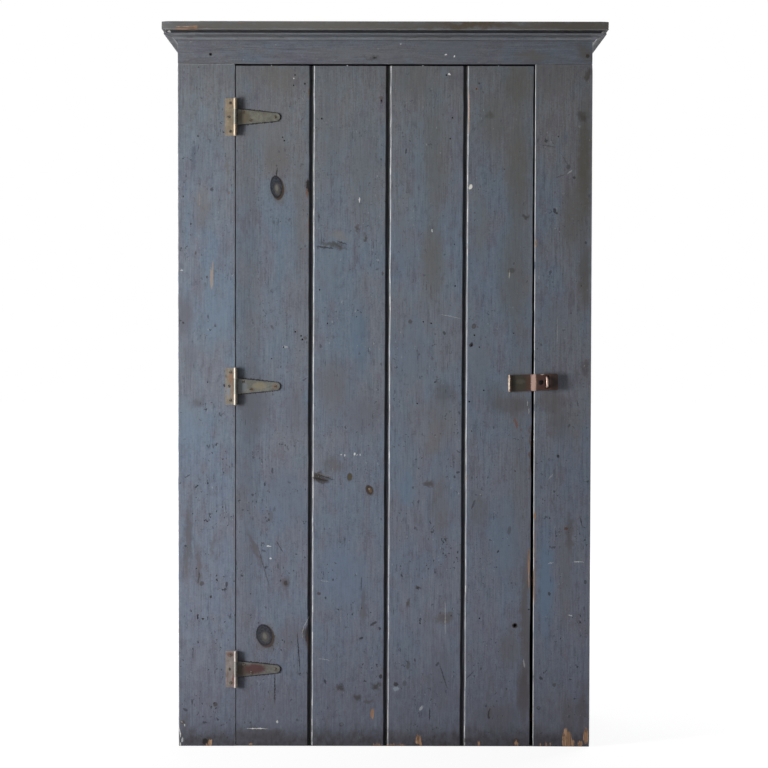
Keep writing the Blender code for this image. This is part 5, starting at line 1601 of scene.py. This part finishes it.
HEADER_STAINS = (
    (0.4600, 1.6050, 0.022, 0.026, 0, (0.070, 0.060, 0.048), 0.70),
    (0.3400, 1.5960, 0.050, 0.014, 0, (0.084, 0.078, 0.068), 0.70),
    (-0.0500, 1.6050, 0.120, 0.020, 0, (0.120, 0.126, 0.134), 0.50),
    (0.1500, 1.6150, 0.080, 0.030, 0, (0.096, 0.108, 0.124), 0.50),
    (-0.0300, 1.5945, 0.020, 0.006, 0, (0.048, 0.044, 0.044), 0.60),
    (-0.4500, 1.5850, 0.030, 0.006, 0, (0.060, 0.052, 0.046), 0.50),
)
HEADER_MARKS = (
    (-0.4017, 1.6013, 0.0034, 0.0034, 0, GRIME_AND_SHADE, 0.85),
    (0.1398, 1.6013, 0.0030, 0.0014, -20, CHALK, 0.95),
    (0.1591, 1.5979, 0.0016, 0.0018, 0, CHALK, 0.95),
    (0.0363, 1.6260, 0.0020, 0.0012, 0, CHALK, 0.75),
    (0.4656, 1.5990, 0.0045, 0.0045, 0, (0.022, 0.016, 0.012), 0.85),
    (-0.0239, 1.5943, 0.0050, 0.0022, 0, GRIME_AND_SHADE, 0.60),
)
HEADER_HOLES = ((-0.4017, 1.6013, 0.0022), (-0.0239, 1.5943, 0.0013))

TOP_STAINS = (
    (-0.3300, 1.6620, 0.260, 0.016, 0, (0.086, 0.084, 0.078), 0.85),
    (0.0500, 1.6620, 0.260, 0.016, 0, (0.084, 0.080, 0.072), 0.85),
    (0.4000, 1.6620, 0.240, 0.016, 0, (0.078, 0.072, 0.062), 0.90),
    (0.2000, 1.6630, 0.110, 0.010, 0, (0.064, 0.048, 0.030), 0.85),
    (-0.1500, 1.6640, 0.200, 0.010, 0, (0.108, 0.100, 0.088), 0.60),
    (0.4300, 1.6620, 0.090, 0.014, 0, (0.070, 0.062, 0.050), 0.75),
    (-0.4300, 1.6570, 0.060, 0.006, 0, (0.085, 0.065, 0.050), 0.60),
    (0.0700, 1.6580, 0.060, 0.005, 0, (0.080, 0.068, 0.052), 0.60),
)
# Painted highlights at both ends of the moulding, just under the top board
MOULDING_END_HIGHLIGHTS = (
    (-0.4935, 1.6490, 0.0045, 0.0028, 30, CHALK, 0.85),
    (0.4990, 1.6490, 0.0050, 0.0030, -35, CHALK, 0.80),
)
TOP_BARE = (
    (-0.4640, 1.6555, 0.016, 0.0028, 0),
    (-0.4420, 1.6570, 0.014, 0.0032, 0),
    (-0.4330, 1.6600, 0.004, 0.0020, 0),
    (-0.3300, 1.6700, 0.012, 0.0012, 0),
)


def moulding_painted_shade(face):
    """Painted shade in the hollow under the top board, on the faces under the fillet that look
    down, and along the moulding's foot.
    """
    up = 1000 * (face.center.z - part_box("cornice_front")[0].z)
    if up > 13.7:
        return 0.85
    if up > 9.3:
        return 0.06
    if up > 5.6:
        return 0.50
    return 0.0 if up > 1.3 else 0.45


# The cupboard is made in the order below

set_camera()
set_light()
set_floor()

painted_board(
    "left_stile", "stile_left", 1.0, 2, 0.0012,
    holes=LEFT_STILE_HOLES, stains=LEFT_STILE_STAINS, bare=LEFT_STILE_BARE, marks=LEFT_STILE_MARKS,
    # The tone is painted light: the left stile is made lighter, as the light is strongest on the
    # left
    speckle=1.5, tone=(1.05, 1.06, 1.07),
)
painted_board(
    "right_stile", "stile_right", 2.0, 2, 0.0012,
    holes=RIGHT_STILE_HOLES, stains=RIGHT_STILE_STAINS, bare=RIGHT_STILE_BARE,
    # The tone is painted shade: the right stile is made darker, as the light falls off towards the
    # right
    marks=RIGHT_STILE_MARKS, tone=(0.94, 0.91, 0.90),
)
painted_board(
    "header", "header_rail", 3.0, 0, 0.0008,
    holes=HEADER_HOLES, stains=HEADER_STAINS, marks=HEADER_MARKS, floor_dirt=False, speckle=0.5,
    # The tone is painted shade that darkens the header
    upper_grey=-0.10, share=0.15, tone=(0.82, 0.82, 0.86),
)
SLACK = Vector((GAP, GAP, GAP))
HOUSINGS = [
    (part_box(node)[0] - SLACK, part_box(node)[1] + SLACK + Vector((0.0, 0.004, 0.0)))
    for node in ("bottom_board", "shelf_1", "shelf_2", "shelf_3", "shelf_4")
]
painted_board("left_side", "side_left", 4.0, 2, 0.0012, cuts=HOUSINGS)
painted_board("right_side", "side_right", 5.0, 2, 0.0012, cuts=HOUSINGS)
painted_board(
    "top", "top_board", 6.0, 0, 0.0014,
    stains=TOP_STAINS, bare=TOP_BARE, front=TOP_FACE,
    floor_dirt=False, speckle=0.7, upper_grey=0.5, share=0.15,
    cuts=(((-0.515, TOP_FACE - 0.002, 1.6700), (-0.4230, TOP_FACE + 0.004, 1.6740)),),
)

DOOR = (
    (BOARD_1_HOLES, dict(stains=BOARD_1_STAINS, knots=BOARD_1_KNOTS, marks=BOARD_1_MARKS)),
    (
        BOARD_2_HOLES,
        dict(stains=BOARD_2_STAINS, knots=BOARD_2_KNOTS, marks=BOARD_2_MARKS, bare=BOARD_2_BARE),
    ),
    (BOARD_3_HOLES, dict(stains=BOARD_3_STAINS, marks=BOARD_3_MARKS, bare=BOARD_3_BARE)),
    (
        BOARD_4_HOLES,
        dict(
            # Board 4's tone is painted shade: it is made darker, as the light falls off towards the
            # right
            stains=BOARD_4_STAINS, marks=BOARD_4_MARKS, bare=BOARD_4_BARE, tone=(0.95, 0.95, 0.96)
        ),
    ),
)
for number, (holes, looks) in enumerate(DOOR, 1):
    name = f"v_jointed_board_{number}"
    node = f"door_board_{number}"
    seed = 10.0 + number
    board = door_board(name, node, seed, first=number == 1, last=number == len(DOOR), holes=holes)
    fit(board, "door", "painted_wood", paint(name + "_paint", seed, **looks), node)

# The mitre planes of each length of moulding, as a place and a normal, and the axis that it faces
MITRES = {
    "cornice_front": (
        (((CASE_LEFT, FACE, 0), (-1, 1, 0)), ((CASE_RIGHT, FACE, 0), (1, 1, 0))),
        1,
    ),
    "cornice_left": ((((CASE_LEFT - GAP, FACE, 0), (1, -1, 0)),), 0),
    "cornice_right": ((((CASE_RIGHT + GAP, FACE, 0), (-1, -1, 0)),), 0),
}
for index, (node, (ends, face_axis)) in enumerate(MITRES.items()):
    name = node.replace("cornice", "bed_moulding")
    seed = 21.0 + index
    moulding = mitred_moulding(name, node, face_axis, ends)
    name_vertices(moulding, "corners", lambda vert: True)
    batter(moulding, "corners", -0.0005, 0.020, seed)
    mark_faces(moulding, "wear_and_highlight", lambda face: 0.0)
    mark_faces(moulding, "grime_and_shade", moulding_painted_shade)
    shade(moulding, 28)
    grain = "zyx" if face_axis == 1 else "xzy"
    finish = paint(
        name + "_paint", seed, grain,
        marks=MOULDING_END_HIGHLIGHTS, front=FACE - 0.015, floor_dirt=False, speckle=0.4,
    )
    fit(moulding, "cabinet", "painted_wood", finish, node)

for index, node in enumerate(("batten_top", "batten_middle", "batten_bottom")):
    low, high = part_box(node)
    seed = 31.0 + index
    batten = square_board(node + "_old", low, high, 0, 0.0035, 0.03)
    wear_board(batten, seed, 0.0008)
    finish_board(batten)
    fit(batten, "door", "painted_wood", paint(node + "_paint", seed, "zyx", floor_dirt=False), node)

INNER_BOARDS = (
    # Nodes, first seed, axis along the board, its arris, order of the grain's axes, more darkness
    (["bottom_board"] + [f"shelf_{n}" for n in range(1, 5)], 41.0, 0, 0.0010, "yzx", 0.0),
    ([f"back_board_{n}" for n in range(1, 6)], 52.0, 2, 0.0008, "xyz", 0.1),
)
for nodes, first_seed, along, arris, grain, dark in INNER_BOARDS:
    for index, node in enumerate(nodes):
        low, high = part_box(node)
        seed = first_seed + index
        board = square_board(node + "_old", low, high, along, arris, 0.05)
        wear_board(board, seed, 0.0007)
        finish_board(board)
        fit(board, "cabinet", "aged_pine", pine(node + "_pine", seed, grain, dark), node)

RUST = (0.150, 0.062, 0.036)
PLUM_RUST = (0.125, 0.058, 0.055)
BARREL_SHADE = (0.0030, 0.0, 0.0020, 0.060, 0, (0.050, 0.026, 0.018), 0.92)
# The steel's colour, how much of it is rusty, and its patches, measured from the pin
LEAF_FINISH = {
    "top": ((0.250, 0.205, 0.150), 0.12, ((-0.012, 0.030, 0.006, 0.004, 0, RUST, 0.5),)),
    "middle": (
        (0.230, 0.205, 0.175),
        0.16,
        (
            (-0.012, 0.022, 0.006, 0.016, 0, (0.215, 0.120, 0.075), 0.75),
            (-0.017, -0.010, 0.0045, 0.016, 0, PAINT_PALE, 0.85),
            (-0.008, -0.002, 0.003, 0.030, 0, (0.200, 0.110, 0.070), 0.6),
        ),
    ),
    "bottom": (
        (0.225, 0.200, 0.190),
        0.12,
        (
            (-0.014, 0.034, 0.009, 0.006, 0, PLUM_RUST, 0.8),
            (-0.006, -0.024, 0.004, 0.018, 0, PLUM_RUST, 0.8),
            (-0.020, -0.020, 0.003, 0.020, 0, PLUM_RUST, 0.4),
        ),
    ),
}
STRAP_FINISH = {
    "top": (
        (0.150, 0.148, 0.125),
        0.06,
        (
            (0.018, 0.0, 0.018, 0.018, 0, (0.085, 0.070, 0.046), 0.80),
            (0.035, -0.008, 0.004, 0.004, 0, RUST, 0.6),
            (0.018, 0.012, 0.004, 0.004, 0, RUST, 0.6),
        ),
    ),
    "middle": (
        (0.150, 0.152, 0.138),
        0.08,
        (
            (0.016, 0.0, 0.012, 0.016, 0, (0.135, 0.150, 0.165), 0.75),
            (0.055, 0.001, 0.018, 0.010, 0, (0.180, 0.155, 0.105), 0.7),
            (0.036, -0.008, 0.005, 0.005, 0, RUST, 0.7),
            (0.091, 0.0, 0.006, 0.006, 0, (0.200, 0.100, 0.065), 0.7),
        ),
    ),
    "bottom": (
        (0.135, 0.132, 0.124),
        0.10,
        (
            (0.016, -0.002, 0.016, 0.018, 0, (0.050, 0.036, 0.026), 0.90),
            (0.044, 0.001, 0.028, 0.013, 0, (0.058, 0.025, 0.026), 0.95),
            (0.036, -0.009, 0.008, 0.005, 0, (0.060, 0.028, 0.022), 0.80),
        ),
    ),
}
SCREW_STEEL = iron("screw_steel", 70.0, (0.205, 0.178, 0.140), (0.120, 0.074, 0.050), 0.25, 0.15)


def hinge_finish(name, seed, kind, height):
    """The iron of one hinge plate, with its patches moved to that plate's height."""
    steel, rust_share, patches = kind
    placed = [(HINGE_X + x, height + z, *rest) for x, z, *rest in (*patches, BARREL_SHADE)]
    return iron(name, seed, steel, RUST, rust_share, 0.35, placed)


for index, (which, height) in enumerate(HINGE_HEIGHTS.items()):
    finish = hinge_finish(f"hinge_{which}_leaf_iron", 61.0 + index, LEAF_FINISH[which], height)
    strap_finish = hinge_finish(
        f"hinge_{which}_strap_iron", 65.0 + index, STRAP_FINISH[which], height
    )
    leaf = hinge_leaf(f"hinge_{which}_leaf_old", f"hinge_{which}_leaf", height)
    finish_iron(leaf, grimy_and_shaded=hinge_dirt_and_shade(LEAF_SCREWS, height))
    fit(leaf, "cabinet", "hinge_steel", finish, f"hinge_{which}_leaf")
    strap = hinge_strap(f"hinge_{which}_strap_old", height)
    finish_iron(strap, grimy_and_shaded=hinge_dirt_and_shade(STRAP_SCREWS, height))
    fit(strap, "door", "hinge_steel", strap_finish, f"hinge_{which}_strap")
    low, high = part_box(f"hinge_{which}_pin")
    middle = (low + high) / 2
    rivet = pin(f"hinge_{which}_pin_old", middle, low.z, high.z, PIN_RADIUS)
    finish_iron(rivet)
    fit(rivet, "cabinet", "hinge_steel", finish, f"hinge_{which}_pin")
    seat = FACE - GAP - PLATE_THICK - SCREW_PROUD
    for kind, places, body in (("leaf", LEAF_SCREWS, "cabinet"), ("strap", STRAP_SCREWS, "door")):
        for number, (end, (dx, dz)) in enumerate(places.items()):
            node = f"hinge_{which}_{kind}_screw_{end}"
            place = (HINGE_X + dx, seat, height + dz)
            seed = 100 * index + 10 * number + len(kind)
            head = tapped_head(node + "_old", place, SCREW_HEAD, 0.0009, seed)
            fit(head, body, "screw_steel", SCREW_STEEL, node)

HASP_PATCHES = (
    (0.309, 0.846, 0.026, 0.024, 0, (0.030, 0.028, 0.020), 0.92),
    (0.314, 0.850, 0.012, 0.006, 0, (0.062, 0.060, 0.044), 0.60),
    (0.334, 0.846, 0.008, 0.020, 0, (0.055, 0.028, 0.020), 0.80),
    # The crank: rubbed pale iron, and a painted highlight where it faces the lamp
    (0.3440, 0.848, 0.0062, 0.030, 2, (0.260, 0.170, 0.140), 0.90),
    (0.366, 0.849, 0.016, 0.024, 2, (0.046, 0.021, 0.017), 0.94),
    # Painted shadow of the staple across the end of the flap
    (0.392, 0.850, 0.012, 0.024, 2, (0.018, 0.011, 0.010), 0.94),
    (0.3640, 0.8672, 0.0050, 0.0022, 0, (0.40, 0.32, 0.28), 0.85),
    # Painted highlight down the side of the knuckle that faces the lamp
    (0.2872, 0.8460, 0.0024, 0.030, 2, (0.560, 0.480, 0.390), 0.95),
    # Painted shade on the knuckle's far side, and its painted shadow on the flap
    (0.2932, 0.8460, 0.0018, 0.030, 2, (0.022, 0.015, 0.012), 0.90),
)
HASP_BROWN = iron(
    "hasp_brown_iron", 81.0, (0.070, 0.040, 0.031), (0.075, 0.032, 0.024), 0.22, 0.3, HASP_PATCHES
)
LOOP_IRON = iron("staple_iron", 82.0, (0.300, 0.215, 0.185), (0.150, 0.070, 0.048), 0.08, 0.4)
plate = hasp_leaf()
finish_iron(plate)
fit(plate, "door", "hasp_iron", HASP_BROWN, "hasp_leaf")
flap = hasp_flap()
finish_iron(flap)
fit(flap, "hasp_flap", "hasp_iron", HASP_BROWN, "hasp_flap")
rivet = pin("hasp_pin_old", Vector((0, 0, 0)), -HASP_PIN_HALF, HASP_PIN_HALF, HASP_PIN_RADIUS)
rivet.data.transform(hasp_turn())
finish_iron(rivet)
fit(rivet, "door", "hasp_iron", HASP_BROWN, "hasp_pin")
for seed, (name, (x, z)) in zip((299, 301), HASP_SCREWS.items()):
    place = hasp_turn() @ Vector((x, 0.0030, z))
    head = tapped_head(f"hasp_leaf_screw_{name}_old", place, SCREW_HEAD, 0.0008, seed)
    fit(head, "door", "screw_steel", SCREW_STEEL, f"hasp_leaf_screw_{name}")
loop = staple()
finish_iron(loop, 60)
fit(loop, "cabinet", "hasp_iron", LOOP_IRON, "staple")

low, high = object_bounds()
